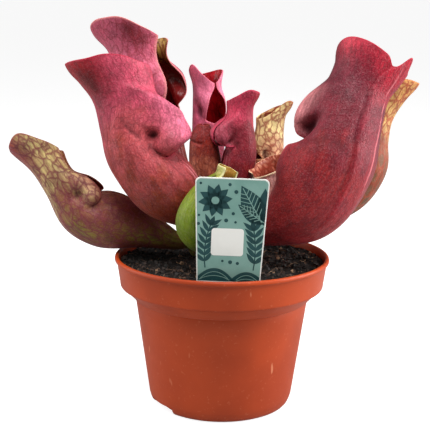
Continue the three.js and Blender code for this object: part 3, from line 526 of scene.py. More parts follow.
def skin_relief(leaf, fine, row, angle, rise, signed):
    """How far the skin stands out for ribs, swells, creases and a fold or keel, with band, a mask of painted
    shade, and lit_flap, a mask of painted light.
    """
    ribs = fine["rib"] * np.cos(np.radians(RIBS * angle + RIB_LEAN * row))
    skin = ribs * ease(row, 1.5, 2.5) * (1 - ease(rise, 0.1, 0.4))
    for swell_row, swell_turn, below, over, width, height in fine.get("swells", []):
        skin += height * hump(row, swell_row, below, over) * hump(apart(signed, swell_turn), 0, width)
    # band marks painted shade: the skin is painted darker along the creases and beside the fold.
    band, lit_flap = np.zeros_like(skin), np.zeros_like(skin)
    for crease_row, height, start, end, depth in fine.get("creases", []):
        dent = hump(row, crease_row, height) * ease(signed, start, start + 14)
        dent *= 1 - ease(signed, end - 14, end)
        skin -= depth * dent
        band = np.maximum(band, dent)
    if "fold" in fine:
        rows, turns = np.array(fine["fold"]).T
        past = apart(signed, np.interp(row, rows, turns))
        grown = ease(row, 2.4, 3.6)
        skin -= FOLD_STEP * np.where(past < 0, np.exp(past / 14), 1 - ease(past, 0, 2.2)) * grown
        # lit_flap marks the flap past the fold, which is painted lighter as painted light.
        lit_flap = ease(past, -1.4, 1.4) * (1 - ease(past, 40, 60)) * grown
        band = np.maximum(band, 0.8 * np.where(past < 0, np.exp(past / 5), 1 - ease(past, 0, 1.6)) * grown)
    else:
        skin += leaf["keel"] * hump(np.abs(signed), 180, KEEL_WIDTH) * ease(row, 2, 3)
    return skin, band, lit_flap


def margin_mask(leaf, row, column, turn, opening, wide, per_row, top):
    """1 at the edge of the hood, the mouth and the lip, falling to 0 at the margin's width from it."""
    lip, mouth = leaf["lip"], leaf["mouth"]
    to_top = (top - row) * per_row
    to_flank = np.where(column >= mouth, (turn - opening) * math.pi / 180 * wide, FAR_FROM_EDGE)
    to_flank = np.where(row >= lip, to_flank, np.hypot(to_flank, (lip - row) * per_row))
    to_lip = np.where(column <= mouth, (lip - row) * per_row, FAR_FROM_EDGE)
    nearest = np.minimum(np.minimum(to_top, to_flank), np.maximum(to_lip, 0))
    return np.clip(1 - nearest / MARGIN_WIDTH, 0, 1)


def leaf_surface(leaf, fine, row, angle):
    """The leaf's outer skin at grids of rows and angles: its points in millimetres, the same points as if the
    leaf were drawn out straight, and masks of 0 to 1 for its finish."""
    stations = stations_of(leaf)
    top = len(stations) - 1
    lip = leaf["lip"]
    row, angle = np.broadcast_arrays(row, angle)
    above = row - lip
    rise = np.maximum(0, above / (top - lip))
    column, sign = np.abs(angle), np.sign(angle)

    # The midline, steeper at the lip's sides, and the turn of the mouth about it
    climb = (1 - np.cos(np.radians(np.minimum(column, 100)))) * (1 - 0.7 * ease(column, 100, 180))
    climbing = ease(row, lip - 1.2, lip) * (1 - ease(row, lip, top))
    place = row + leaf["slant"] * climb * climbing
    faces = math.radians(leaf["faces"])
    facing = unit(np.array([math.cos(faces), math.sin(faces), leaf["upward"]]))
    centre, along, front, side = midline(stations, facing, place)
    twist = (np.radians(leaf["twist"]) * ease(above, -0.6, 1.4))[..., None]
    front, side = front * np.cos(twist) + side * np.sin(twist), side * np.cos(twist) - front * np.sin(twist)
    run, length = run_along(stations, place)

    # The section, open at the front over the lip, as offsets from the midline
    opening, turn = mouth_turns(leaf, rise, column)
    signed = turn * sign
    wide = through(stations[:, 4], place)
    cos, sin = np.cos(np.radians(turn)), np.sin(np.radians(turn))
    offset = np.stack([through(stations[:, 3], place) * cos, wide * sin, np.zeros_like(turn)])
    cheek, crease, pit = add_cheeks(leaf, fine, offset, above, turn, opening)
    if "tuck" in fine:
        offset[FRONT] -= fine["tuck"] * hump(above, 0, 0.8, 0.14) * hump(turn, 0, 42)
    else:
        offset[FRONT] += hump(row, lip, 0.18) * hump(turn, 0, 30)
    if "nose" in fine:
        add_nose(fine["nose"], offset, run, above, turn, opening)
    if "hole" in fine:
        pit = np.maximum(pit * 0.5, add_hole(fine["hole"], offset, run))
    add_edge(leaf, fine, offset, rise, turn, signed)

    # The wing's two ridges side by side down the front of the belly, and the skin's relief
    ridge = hump(turn, RIDGE_TURN, RIDGE_WIDTH) * ease(row, 1.2, 2.4) * (1 - ease(row, lip - 0.5, lip))
    offset[FRONT] += 0.8 * leaf["wing"] * ridge
    skin, band, lit_flap = skin_relief(leaf, fine, row, angle, rise, signed)
    offset[FRONT] += skin * cos
    offset[SIDE] += skin * sin
    forward, sideways, upward = offset[FRONT], offset[SIDE] * sign, offset[ALONG]
    points = centre + front * forward[..., None] + side * sideways[..., None] + along * upward[..., None]

    # What the finish reads
    straight = np.stack([forward, sideways, run + upward], axis=-1)
    line = ridge
    # highlit_edge: a pale line painted as a highlight where light catches the edge
    if "highlit_edge" in fine:
        rows, turns = np.array(fine["highlit_edge"]).T
        line = np.maximum(line, hump(apart(signed, np.interp(row, rows, turns)), 0, 2.6) * ease(row, 3, 4))
    # Painted light: the flap past the fold is lightened towards the accent colour
    accent = 0.15 * lit_flap
    for spot_row, spot_turn, height, width, strength in fine.get("accents", []):
        spot = strength * hump(row, spot_row, height) * hump(apart(signed, spot_turn), 0, width)
        accent = np.maximum(accent, spot)
    marks = {
        "along": np.where(row < lip, 0.5 * row / lip, 0.5 + 0.5 * rise),
        "back": 0.5 - 0.5 * cos,
        "margin": margin_mask(leaf, row, column, turn, opening, wide, length / top, top),
        "cheek": np.clip(cheek, 0, 1),
        # Painted shade in the pits, the creases and beside the fold, in part the pits' own dark colour
        "hollow": np.clip(pit + 0.5 * crease + 0.7 * band, 0, 1),
        "line": np.clip(line, 0, 1),
        "accent": np.clip(accent, 0, 1),
    }
    return points, straight, marks


def spread_places(density, start, end, count, fixed):
    """Places from start to end, closer where density is high, with the nearest ones moved to the fixed ones."""
    fine = np.linspace(start, end, 600)
    total = np.concatenate([[0], np.cumsum(density((fine[1:] + fine[:-1]) / 2))])
    places = np.interp(np.linspace(0, total[-1], count), total, fine)
    for value in fixed:
        places[np.argmin(np.abs(places - value))] = value
    return places


# Meshes

def placed(name, data):
    """A new object of this data in the scene."""
    thing = bpy.data.objects.new(name, data)
    bpy.context.scene.collection.objects.link(thing)
    return thing


def mesh_object(name, vertices, faces, smooth=True):
    """A piece made from vertices in metres and faces."""
    mesh = bpy.data.meshes.new(name)
    mesh.from_pydata([tuple(v) for v in vertices], [], faces)
    mesh.update()
    if smooth:
        mesh.shade_smooth()
    return placed(name, mesh)


def applied(piece):
    """The piece with its modifiers applied to its mesh."""
    bpy.context.view_layer.update()
    graph = bpy.context.evaluated_depsgraph_get()
    mesh = bpy.data.meshes.new_from_object(piece.evaluated_get(graph), depsgraph=graph)
    old = piece.data
    piece.modifiers.clear()
    piece.data = mesh
    mesh.name = old.name
    bpy.data.meshes.remove(old)
    return piece


def lathe(name, profile, sides):
    """A closed profile of (radius, height) pairs turned round the Z axis."""
    vertices, faces, rings = [], [], []
    for radius, height in profile:
        if radius < 1e-6:
            rings.append([len(vertices)] * sides)
            vertices.append((0, 0, height * MM))
            continue
        rings.append(list(range(len(vertices), len(vertices) + sides)))
        for k in range(sides):
            turn = 2 * math.pi * k / sides
            vertices.append((radius * math.cos(turn) * MM, radius * math.sin(turn) * MM, height * MM))
    for low, high in zip(rings, rings[1:] + rings[:1]):
        for k in range(sides):
            corners = [low[k], low[(k + 1) % sides], high[(k + 1) % sides], high[k]]
            distinct = list(dict.fromkeys(corners))
            if len(distinct) > 2:
                faces.append(distinct)
    return mesh_object(name, vertices, faces)


def finish_piece(piece, slot, *nodes):
    """Says what the piece rides on and which solids it stands for; slot is not used."""
    if not piece.data.polygons:
        raise RuntimeError(f"{piece.name} has no faces")
    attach(piece, "root")
    if nodes:
        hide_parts(*nodes)


# Materials

NUMBER = "NodeSocketFloat"
COLOUR = "NodeSocketColor"
VECTOR = "NodeSocketVector"
SKIN_COLOURS = ("Foot", "Belly", "Shoulder", "Cheek", "Hood", "Tip", "Margin", "Vein", "Accent", "Line")
INSIDE_COLOURS = ("Ground", "Deep", "Vein")
NET_VALUES = ("Cell", "Net", "Width", "Net Start")


def node_in(tree, kind, values=None, **settings):
    """A new node with its settings, whose inputs get these values or the sockets given as values."""
    node = tree.nodes.new(kind)
    for key, value in settings.items():
        setattr(node, key, value)
    for key, value in (values or {}).items():
        if isinstance(value, bpy.types.NodeSocket):
            tree.links.new(value, node.inputs[key])
        else:
            node.inputs[key].default_value = value
    return node


def group_in(tree, name, values):
    """A shared shader group placed in a tree, with these values."""
    return node_in(tree, "ShaderNodeGroup", values, node_tree=bpy.data.node_groups[name])


def mixed(tree, factor, first, second, blend="MIX"):
    """One colour over another by a factor."""
    values = {0: factor, 6: first, 7: second}
    return node_in(tree, "ShaderNodeMix", values, data_type="RGBA", blend_type=blend).outputs[2]


def ranged(tree, value, low, high, to_low=0.0, to_high=1.0, smooth=True):
    """A value moved from one range to another, eased at both ends unless smooth is off."""
    style = "SMOOTHSTEP" if smooth else "LINEAR"
    values = {"Value": value, "From Min": low, "From Max": high, "To Min": to_low, "To Max": to_high}
    return node_in(tree, "ShaderNodeMapRange", values, interpolation_type=style).outputs["Result"]


def math_of(tree, operation, *values):
    """The result of a sum on values or sockets."""
    return node_in(tree, "ShaderNodeMath", dict(enumerate(values)), operation=operation).outputs[0]


def vector_of(tree, operation, first, second):
    """The result of a sum on two vectors or sockets."""
    return node_in(tree, "ShaderNodeVectorMath", {0: first, 1: second}, operation=operation).outputs[0]


def attribute(tree, name, output="Fac"):
    """What the mesh stores under a name."""
    return node_in(tree, "ShaderNodeAttribute", attribute_name=name).outputs[output]


def noise_of(tree, vector, scale, detail=3.0, roughness=0.5):
    """The outputs of a soft noise over a vector."""
    values = {"Vector": vector, "Scale": scale, "Detail": detail, "Roughness": roughness}
    return node_in(tree, "ShaderNodeTexNoise", values).outputs


def new_group(name, inputs, outputs):
    """A shader group with its inner ends: what it is given and what it puts out."""
    group = bpy.data.node_groups.new(name, "ShaderNodeTree")
    for label, kind, value in inputs:
        socket = group.interface.new_socket(name=label, in_out="INPUT", socket_type=kind)
        socket.default_value = value
    for label, kind in outputs:
        group.interface.new_socket(name=label, in_out="OUTPUT", socket_type=kind)
    return group, group.nodes.new("NodeGroupInput").outputs, group.nodes.new("NodeGroupOutput").inputs


def vein_group():
    """Veins that close into a net, coarse and fine, and streaks along the leaf, as masks of 0 to 1."""
    group, given, out = new_group(
        "vein_net",
        [("Space", VECTOR, (0, 0, 0)), ("Cell", NUMBER, 3.0), ("Width", NUMBER, 0.18),
         ("Stretch", NUMBER, 0.55)],
        [("Coarse", NUMBER), ("Fine", NUMBER), ("Streak", NUMBER), ("Patch", NUMBER)])
    space = given["Space"]
    wander = noise_of(group, space, 0.35, 2.0)["Color"]
    bent = vector_of(group, "ADD", space, vector_of(group, "MULTIPLY", wander, (2.2, 2.2, 2.2)))
    stretch = node_in(group, "ShaderNodeCombineXYZ", {"X": 1.0, "Y": 1.0, "Z": given["Stretch"]}).outputs[0]
    drawn = vector_of(group, "MULTIPLY", bent, stretch)
    scale = math_of(group, "DIVIDE", 1.0, given["Cell"])
    for mask, density, width in (("Coarse", scale, given["Width"]), ("Fine", 1.1, 0.3)):
        values = {"Vector": drawn, "Scale": density}
        cells = node_in(group, "ShaderNodeTexVoronoi", values, feature="DISTANCE_TO_EDGE")
        group.links.new(ranged(group, cells.outputs["Distance"], 0.0, width, 1.0, 0.0), out[mask])
    long = vector_of(group, "MULTIPLY", space, (1.0, 1.0, 0.07))
    streak = noise_of(group, long, 0.9, 3.0)["Fac"]
    group.links.new(ranged(group, streak, 0.38, 0.66), out["Streak"])
    patch = noise_of(group, space, 0.12, 3.0)["Fac"]
    group.links.new(ranged(group, patch, 0.3, 0.7), out["Patch"])
    return group


def leaf_group():
    """The skin of a leaf: its colours from foot to tip with veins over them, painted shade, painted light and
    painted glints, its roughness and its relief.
    """
    inputs = [(label, COLOUR, (0.5, 0.5, 0.5, 1)) for label in SKIN_COLOURS]
    inputs += [("Cell", NUMBER, 3.0), ("Net", NUMBER, 0.4), ("Width", NUMBER, 0.18),
               ("Net Start", NUMBER, 0.0), ("Fine", NUMBER, 0.2), ("Streak", NUMBER, 0.2)]
    group, given, out = new_group(
        "leaf_skin", inputs, [("Color", COLOUR), ("Roughness", NUMBER), ("Height", NUMBER)])
    space = attribute(group, "leaf_space", "Vector")
    marks = ("along", "back", "margin", "cheek", "hollow", "line", "accent")
    along, back, margin, cheek, hollow, line, accent = (attribute(group, "leaf_" + mark) for mark in marks)
    veins = group_in(group, "vein_net", {"Space": space, "Cell": given["Cell"], "Width": given["Width"]})
    patch = veins.outputs["Patch"]
    waver = math_of(group, "MULTIPLY_ADD", patch, 0.1, math_of(group, "SUBTRACT", along, 0.05))
    colour = mixed(group, ranged(group, waver, 0.05, 0.22), given["Foot"], given["Belly"])
    colour = mixed(group, ranged(group, waver, 0.35, 0.52), colour, given["Shoulder"])
    colour = mixed(group, ranged(group, waver, 0.52, 0.7), colour, given["Hood"])
    colour = mixed(group, ranged(group, cheek, 0.1, 0.8), colour, given["Cheek"])
    tip = math_of(group, "MULTIPLY", ranged(group, waver, 0.62, 0.94), ranged(group, back, 0.4, 0.9))
    colour = mixed(group, tip, colour, given["Tip"])
    rough_patch = math_of(group, "MULTIPLY", accent, ranged(group, patch, 0.0, 1.0, 0.7, 1.0, False))
    colour = mixed(group, rough_patch, colour, given["Accent"])
    colour = mixed(group, math_of(group, "MULTIPLY", veins.outputs["Streak"], given["Streak"]), colour,
                   given["Vein"])
    netted = math_of(group, "MULTIPLY", veins.outputs["Coarse"], given["Net"])
    starts = math_of(group, "ADD", given["Net Start"], 0.06)
    netted = math_of(group, "MULTIPLY", netted, ranged(group, along, given["Net Start"], starts, 0.35, 1.0))
    colour = mixed(group, netted, colour, given["Vein"])
    fine = math_of(group, "MULTIPLY", veins.outputs["Fine"], given["Fine"])
    colour = mixed(group, fine, colour, mixed(group, 1.0, colour, (0.55, 0.42, 0.45, 1), "MULTIPLY"))
    light = ranged(group, noise_of(group, space, 0.22, 4.0)["Fac"], 0.28, 0.72, 0.7, 1.2, False)
    shade = node_in(group, "ShaderNodeCombineColor", {0: light, 1: light, 2: light}).outputs[0]
    colour = mixed(group, 1.0, colour, shade, "MULTIPLY")
    # Pale specks: painted glints of light on the fine hair
    specks = ranged(group, noise_of(group, space, 1.7, 2.0, 0.7)["Fac"], 0.45, 0.75, 0.0, 0.07)
    colour = mixed(group, specks, colour, (1.0, 0.62, 0.62, 1))
    # The line colour over the wing's pale ridges and over highlit_edge, a painted highlight
    colour = mixed(group, ranged(group, line, 0.35, 0.9, 0.0, 0.7), colour, given["Line"])
    colour = mixed(group, ranged(group, margin, 0.76, 0.97, 0.0, 0.75), colour, given["Margin"])
    # Painted shade: the pits, the creases and the skin beside the fold are darkened towards near black
    colour = mixed(group, ranged(group, hollow, 0.35, 1.0, 0.0, 0.72), colour, (0.02, 0.004, 0.006, 1))
    group.links.new(colour, out["Color"])
    rough = ranged(group, noise_of(group, space, 0.6, 3.0)["Fac"], 0.2, 0.8, 0.38, 0.54, False)
    rough = math_of(group, "MAXIMUM", rough, hollow)
    group.links.new(rough, out["Roughness"])
    pebble = noise_of(group, space, 1.6, 3.0)["Fac"]
    height = math_of(group, "MULTIPLY_ADD", veins.outputs["Fine"], -0.35, pebble)
    height = math_of(group, "MULTIPLY_ADD", veins.outputs["Coarse"], 0.5, height)
    group.links.new(height, out["Height"])
    return group


def inside_group():
    """The inner face of a leaf: a ground colour under a net of veins, darker towards the depth and away from
    the edge, partly as painted shade.
    """
    group, given, out = new_group(
        "leaf_inside",
        [("Ground", COLOUR, (0.5, 0.1, 0.1, 1)), ("Deep", COLOUR, (0.1, 0.0, 0.0, 1)),
         ("Vein", COLOUR, (0.1, 0.0, 0.0, 1)), ("Cell", NUMBER, 3.0), ("Net", NUMBER, 0.5),
         ("Width", NUMBER, 0.2)],
        [("Color", COLOUR), ("Roughness", NUMBER), ("Height", NUMBER)])
    space = attribute(group, "leaf_space", "Vector")
    margin, along = attribute(group, "leaf_margin"), attribute(group, "leaf_along")
    veins = group_in(group, "vein_net", {"Space": space, "Cell": given["Cell"], "Width": given["Width"]})
    # The Deep colour lower down the tube is partly painted shade
    ground = mixed(group, ranged(group, along, 0.62, 0.86), given["Deep"], given["Ground"])
    netted = math_of(group, "MULTIPLY", veins.outputs["Coarse"], given["Net"])
    colour = mixed(group, netted, ground, given["Vein"])
    patch = math_of(group, "MULTIPLY", veins.outputs["Patch"], 0.4)
    colour = mixed(group, patch, colour, given["Vein"])
    # Painted shade: darker away from the edge, deeper into the leaf
    deep = ranged(group, margin, 0.0, 0.6, 0.4, 0.0)
    colour = mixed(group, deep, colour, mixed(group, 1.0, colour, (0.5, 0.35, 0.3, 1), "MULTIPLY"))
    group.links.new(colour, out["Color"])
    rough = ranged(group, noise_of(group, space, 0.8, 2.0)["Fac"], 0.2, 0.8, 0.26, 0.42, False)
    group.links.new(rough, out["Roughness"])
    group.links.new(veins.outputs["Coarse"], out["Height"])
    return group


def speckle_group():
    """Fine dirt, dust and rubbed places over a surface, as masks of 0 to 1 at the object's own scale."""
    group, given, out = new_group(
        "dust_and_wear", [("Space", VECTOR, (0, 0, 0)), ("Grain", NUMBER, 900.0), ("Cloud", NUMBER, 40.0)],
        [("Specks", NUMBER), ("Clouds", NUMBER), ("Scratches", NUMBER)])
    space = given["Space"]
    specks = noise_of(group, space, given["Grain"], 2.0)["Fac"]
    group.links.new(ranged(group, specks, 0.62, 0.74), out["Specks"])
    clouds = noise_of(group, space, given["Cloud"], 4.0)["Fac"]
    group.links.new(ranged(group, clouds, 0.35, 0.7), out["Clouds"])
    turned = node_in(group, "ShaderNodeMapping", {"Vector": space, "Rotation": (0.3, 0.5, 0.9),
                                                  "Scale": (320.0, 22.0, 90.0)}).outputs[0]
    lines = noise_of(group, turned, 1.0, 1.0)["Fac"]
    group.links.new(ranged(group, lines, 0.75, 0.8), out["Scratches"])
    return group


def new_material(name):
    """A material with its tree and its Principled shader."""
    material = bpy.data.materials.new(name)
    material.use_nodes = True
    tree = material.node_tree
    return material, tree, tree.nodes["Principled BSDF"]


def bumped(tree, shader, height, strength, distance):
    """Small relief on a shader, from a height of 0 to 1 and its depth in metres."""
    bump = node_in(tree, "ShaderNodeBump", {"Height": height, "Strength": strength, "Distance": distance})
    tree.links.new(bump.outputs["Normal"], shader.inputs["Normal"])


def leaf_finish(name, group, values, strength, distance):
    """A leaf's material whose colour, roughness and relief come from a shader group, and its shader."""
    material, tree, shader = new_material(name)
    skin = group_in(tree, group, values)
    tree.links.new(skin.outputs["Color"], shader.inputs["Base Color"])
    tree.links.new(skin.outputs["Roughness"], shader.inputs["Roughness"])
    shader.inputs["Specular IOR Level"].default_value = LEAF_GLOSS
    bumped(tree, shader, skin.outputs["Height"], strength, distance)
    return material, shader


def leaf_material(name, look, sheen):
    """The outer skin of a leaf, with the soft sheen of its fine hair."""
    values = {label: look[label.lower()] for label in SKIN_COLOURS + ("Fine", "Streak")}
    values.update(zip(NET_VALUES, look["net"]))
    material, shader = leaf_finish(name, "leaf_skin", values, 0.35, 0.0004)
    shader.inputs["Sheen Weight"].default_value = sheen
    shader.inputs["Sheen Roughness"].default_value = 0.4
    return material


def inside_material(name, look):
    """The inner face of a leaf."""
    values = {label: look[label.lower()] for label in INSIDE_COLOURS}
    values.update(zip(NET_VALUES, look["net"]))
    return leaf_finish(name, "leaf_inside", values, 0.3, 0.0003)[0]


def stuff_material(name, colour):
    """A plain stuff in one colour with the clouds, specks and scratches that its entry gives."""
    stuff = STUFFS[name]
    material, tree, shader = new_material(name)
    space = node_in(tree, "ShaderNodeTexCoord").outputs["Object"]
    wear = group_in(tree, "dust_and_wear", {"Space": space, "Grain": stuff["grain"], "Cloud": stuff["cloud"]})
    base = mixed(tree, wear.outputs["Clouds"], colour, stuff["dark"])
    specks = math_of(tree, "MULTIPLY", wear.outputs["Specks"], stuff["specks"])
    base = mixed(tree, specks, base, stuff["pale"])
    if "scratches" in stuff:
        scratches = math_of(tree, "MULTIPLY", wear.outputs["Scratches"], stuff["scratches"])
        base = mixed(tree, scratches, base, stuff["pale"])
    tree.links.new(base, shader.inputs["Base Color"])
    shader.inputs["Specular IOR Level"].default_value = STUFF_GLOSS
    rough = math_of(tree, "MULTIPLY_ADD", wear.outputs["Clouds"], 0.12, stuff["rough"])
    tree.links.new(rough, shader.inputs["Roughness"])
    bumped(tree, shader, wear.outputs["Specks"], stuff["bump"], 0.0002)
    return material


def crumb_material():
    """Peat crumbs and fibres, dark to straw-coloured by the tone that each one has."""
    material, tree, shader = new_material("peat_crumbs")
    ramp = node_in(tree, "ShaderNodeValToRGB", {"Fac": attribute(tree, "tone")})
    ramp.color_ramp.elements[0].color = rgb(16, 12, 10)
    ramp.color_ramp.elements[1].color = rgb(150, 118, 88)
    for place, colour in ((0.6, rgb(34, 25, 20)), (0.86, rgb(60, 42, 32)), (0.97, rgb(104, 76, 56))):
        ramp.color_ramp.elements.new(place).color = colour
    tree.links.new(ramp.outputs["Color"], shader.inputs["Base Color"])
    space = node_in(tree, "ShaderNodeTexCoord").outputs["Object"]
    grain = noise_of(tree, space, 1500.0, 3.0)["Fac"]
    tree.links.new(ranged(tree, grain, 0.2, 0.8, 0.65, 0.95, False), shader.inputs["Roughness"])
    bumped(tree, shader, grain, 0.4, 0.0002)
    return material


# Properties

class PotSettings(bpy.types.PropertyGroup):
    """Sizes and colour of the pot"""
    rim_radius: FloatProperty(
        name="Rim Radius", description="Outer radius of the pot's rim", default=45 * MM, unit="LENGTH")
    height: FloatProperty(name="Height", description="Height of the pot", default=64 * MM, unit="LENGTH")
    wall: FloatProperty(name="Wall", description="Thickness of the pot's wall", default=1 * MM, unit="LENGTH")
    sides: IntProperty(name="Sides", description="Number of facets round the pot", default=144, min=24)
    colour: FloatVectorProperty(
        name="Colour", description="Colour of the pot's plastic", subtype="COLOR", size=4,
        default=rgb(178, 66, 24))


class PeatSettings(bpy.types.PropertyGroup):
    """Level, crumbs and colour of the peat"""
    level: FloatProperty(
        name="Level", description="Height of the peat's top", default=61.3 * MM, unit="LENGTH")
    crumbs: IntProperty(name="Crumbs", description="Number of loose crumbs on the peat", default=1500, min=0)
    fibres: IntProperty(name="Fibres", description="Number of fibres on the peat", default=260, min=0)
    colour: FloatVectorProperty(
        name="Colour", description="Colour of the peat", subtype="COLOR", size=4, default=rgb(20, 15, 12))


class LabelSettings(bpy.types.PropertyGroup):
    """Sizes and colours of the plant label"""
    width: FloatProperty(name="Width", description="Width of the label's top", default=28 * MM, unit="LENGTH")
    height: FloatProperty(name="Height", description="Height of the label", default=55.5 * MM, unit="LENGTH")
    ground: FloatVectorProperty(
        name="Ground", description="Colour of the printed ground", subtype="COLOR", size=4,
        default=rgb(128, 166, 156))
    ink: FloatVectorProperty(
        name="Ink", description="Colour of the printed motifs", subtype="COLOR", size=4,
        default=rgb(36, 74, 76))


class LeafSettings(bpy.types.PropertyGroup):
    """Thickness and sheen of the leaves"""
    wall: FloatProperty(name="Wall", description="Thickness of a leaf", default=0.85 * MM, unit="LENGTH")
    sheen: FloatProperty(
        name="Sheen", description="Soft sheen of the leaves' fine hair", default=0.04, min=0, max=1,
        subtype="FACTOR")


class StageSettings(bpy.types.PropertyGroup):
    """Floor and lights of the stage"""
    floor_colour: FloatVectorProperty(
        name="Floor", description="Colour of the floor", subtype="COLOR", size=4, default=(0.4, 0.4, 0.4, 1))
    floor_glow: FloatProperty(
        name="Floor Glow", description="How much the floor is whitened for the camera", default=0.85, min=0)
    ambient: FloatProperty(name="Ambient", description="Strength of the light from all round", default=0.2)
    side_light: FloatProperty(
        name="Side Light", description="Power of the right light", default=6.4, unit="POWER")
    top_light: FloatProperty(
        name="Top Light", description="Power of the top light", default=8.0, unit="POWER")


# Pot

def pot_profile(settings):
    """The pot's section as (radius, height) pairs in millimetres, up the outside and down the inside."""
    rim, height, wall = (value / MM for value in (settings.rim_radius, settings.height, settings.wall))
    foot = [(0, 0), (26.0, 0), (27.4, 0.15), (28.5, 0.7), (29.3, 1.6), (29.85, 2.8), (30.2, 4.0)]
    body = [(30.4 + (36.3 - 30.4) * k / 10, 4.6 + (46.0 - 4.6) * k / 10) for k in range(11)]
    collar = [(36.25, 46.15), (36.3, 46.35), (36.9, 46.45), (37.1, 46.6), (37.25, 46.9), (39.6, 49.3),
              (41.4, 51.1), (41.35, 51.35), (42.1, 51.45), (42.5, 51.62), (42.68, 51.9), (42.75, 52.5)]
    upper = [(42.82, 53.2), (43.3, 56.5), (44.0, 61.2), (44.12, 61.8), (44.3, 62.05)]
    bead = [(rim - 0.3, 62.15), (rim - 0.06, 62.4), (rim, 62.8), (rim - 0.02, 63.2), (rim - 0.15, 63.6),
            (rim - 0.4, 63.88), (rim - 0.75, height)]
    inside = [(rim - 1.1, height), (rim - 1.5, height - 0.15), (rim - 1.75, height - 0.5),
              (44.2 - wall, height - 1.2), (43.1 - wall, 56.5), (42.8 - wall, 53.3), (42.3 - wall, 52.5),
              (39.9 - wall, 50.3), (36.8 - wall, 47.1), (36.3 - wall, 46.4), (30.4 - wall, 4.8),
              (29.4 - wall, 3.2), (27.5 - wall, 1.8), (0, 1.4)]
    return foot + body + collar + upper + bead + inside


def cut_with(piece, cutters):
    """Cuts the cutters' shapes out of the piece and removes them."""
    for cutter in cutters:
        modifier = piece.modifiers.new("cut", "BOOLEAN")
        modifier.object = cutter
        modifier.operation = "DIFFERENCE"
        modifier.solver = "EXACT"
    applied(piece)
    for cutter in cutters:
        bpy.data.objects.remove(cutter)


def sector_block(name, inner, outer, start, end, low, high, steps=16):
    """A block of a ring between two angles, in millimetres and degrees."""
    vertices, faces = [], []
    for k in range(steps + 1):
        turn = math.radians(start + (end - start) * k / steps)
        for radius, height in ((inner, low), (outer, low), (outer, high), (inner, high)):
            vertices.append((radius * math.cos(turn) * MM, radius * math.sin(turn) * MM, height * MM))
    for k in range(steps):
        for c in range(4):
            d = (c + 1) % 4
            faces.append((4 * k + c, 4 * k + 4 + c, 4 * k + 4 + d, 4 * k + d))
    faces += [(0, 1, 2, 3), tuple(4 * steps + c for c in (3, 2, 1, 0))]
    return mesh_object(name, vertices, faces, smooth=False)


class PLANT_OT_pot(bpy.types.Operator):
    """Build the nursery pot with its collar, lip, drain holes and foot notches"""
    bl_idname = "plant.pot"
    bl_label = "Pot"

    def execute(self, context):
        settings = context.scene.plant_pot
        pot = lathe("nursery_pot", pot_profile(settings), settings.sides)
        cutters = []
        for k in range(DRAIN_HOLES):
            turn = 2 * math.pi * k / DRAIN_HOLES
            hole = lathe(f"hole_{k}", [(0, -2), (DRAIN_RADIUS, -2), (DRAIN_RADIUS, 4), (0, 4)], 32)
            hole.location = (DRAIN_CIRCLE * math.cos(turn) * MM, DRAIN_CIRCLE * math.sin(turn) * MM, 0)
            cutters.append(hole)
        for k, middle in enumerate(NOTCH_MIDDLES):
            start, end = middle - NOTCH_HALF_SPAN, middle + NOTCH_HALF_SPAN
            cutters.append(sector_block(f"notch_{k}", *NOTCH_RING, start, end, -2, NOTCH_HEIGHT))
        cut_with(pot, cutters)
        if len(pot.data.vertices) < LEAST_MESH:
            raise RuntimeError("the pot lost its wall while it was cut")
        pot.data.set_sharp_from_angle(angle=math.radians(50))
        pot.data.materials.clear()
        pot.data.materials.append(stuff_material("terracotta_plastic", tuple(settings.colour)))
        finish_piece(pot, "pot", "pot")
        return {"FINISHED"}


# Peat

def peat_height(x, y):
    """Height of the rough top of the peat above its level, in millimetres."""
    coarse = math.sin(0.31 * x + 1.3) * math.cos(0.27 * y - 0.4)
    middle = math.sin(0.83 * x - 0.71 * y) * math.cos(0.67 * x + 0.92 * y + 2)
    small = math.sin(2.1 * x + 1.7 * y) * math.cos(1.9 * x - 2.6 * y + 1)
    small += math.sin(4.3 * x - 3.1) * math.sin(3.7 * y)
    mound = 1.2 * math.exp(-((x - CROWN[0]) ** 2 + (y - CROWN[1]) ** 2) / 260)
    return 0.5 * coarse + 0.35 * middle + 0.14 * small + mound


def peat_piece(level):
    """The peat as one closed body: underside, side and rough top."""
    side = [(0, 1.8), (26, 1.8), (28.2, 3.9), (29.0, 5.4), (34.9, 46.8), (40.9, 52.9), (41.4, 53.6),
            (PEAT_RADIUS, level - 0.5), (PEAT_RADIUS - 0.05, level)]
    rings = [(PEAT_RADIUS * (1 - (k / PEAT_RINGS) ** 1.15), level) for k in range(1, PEAT_RINGS)]
    piece = lathe("peat", side + rings + [(0, level)], 160)
    for vertex in piece.data.vertices:
        if vertex.co.z > (level - 0.1) * MM:
            vertex.co.z += peat_height(vertex.co.x / MM, vertex.co.y / MM) * MM
    return piece


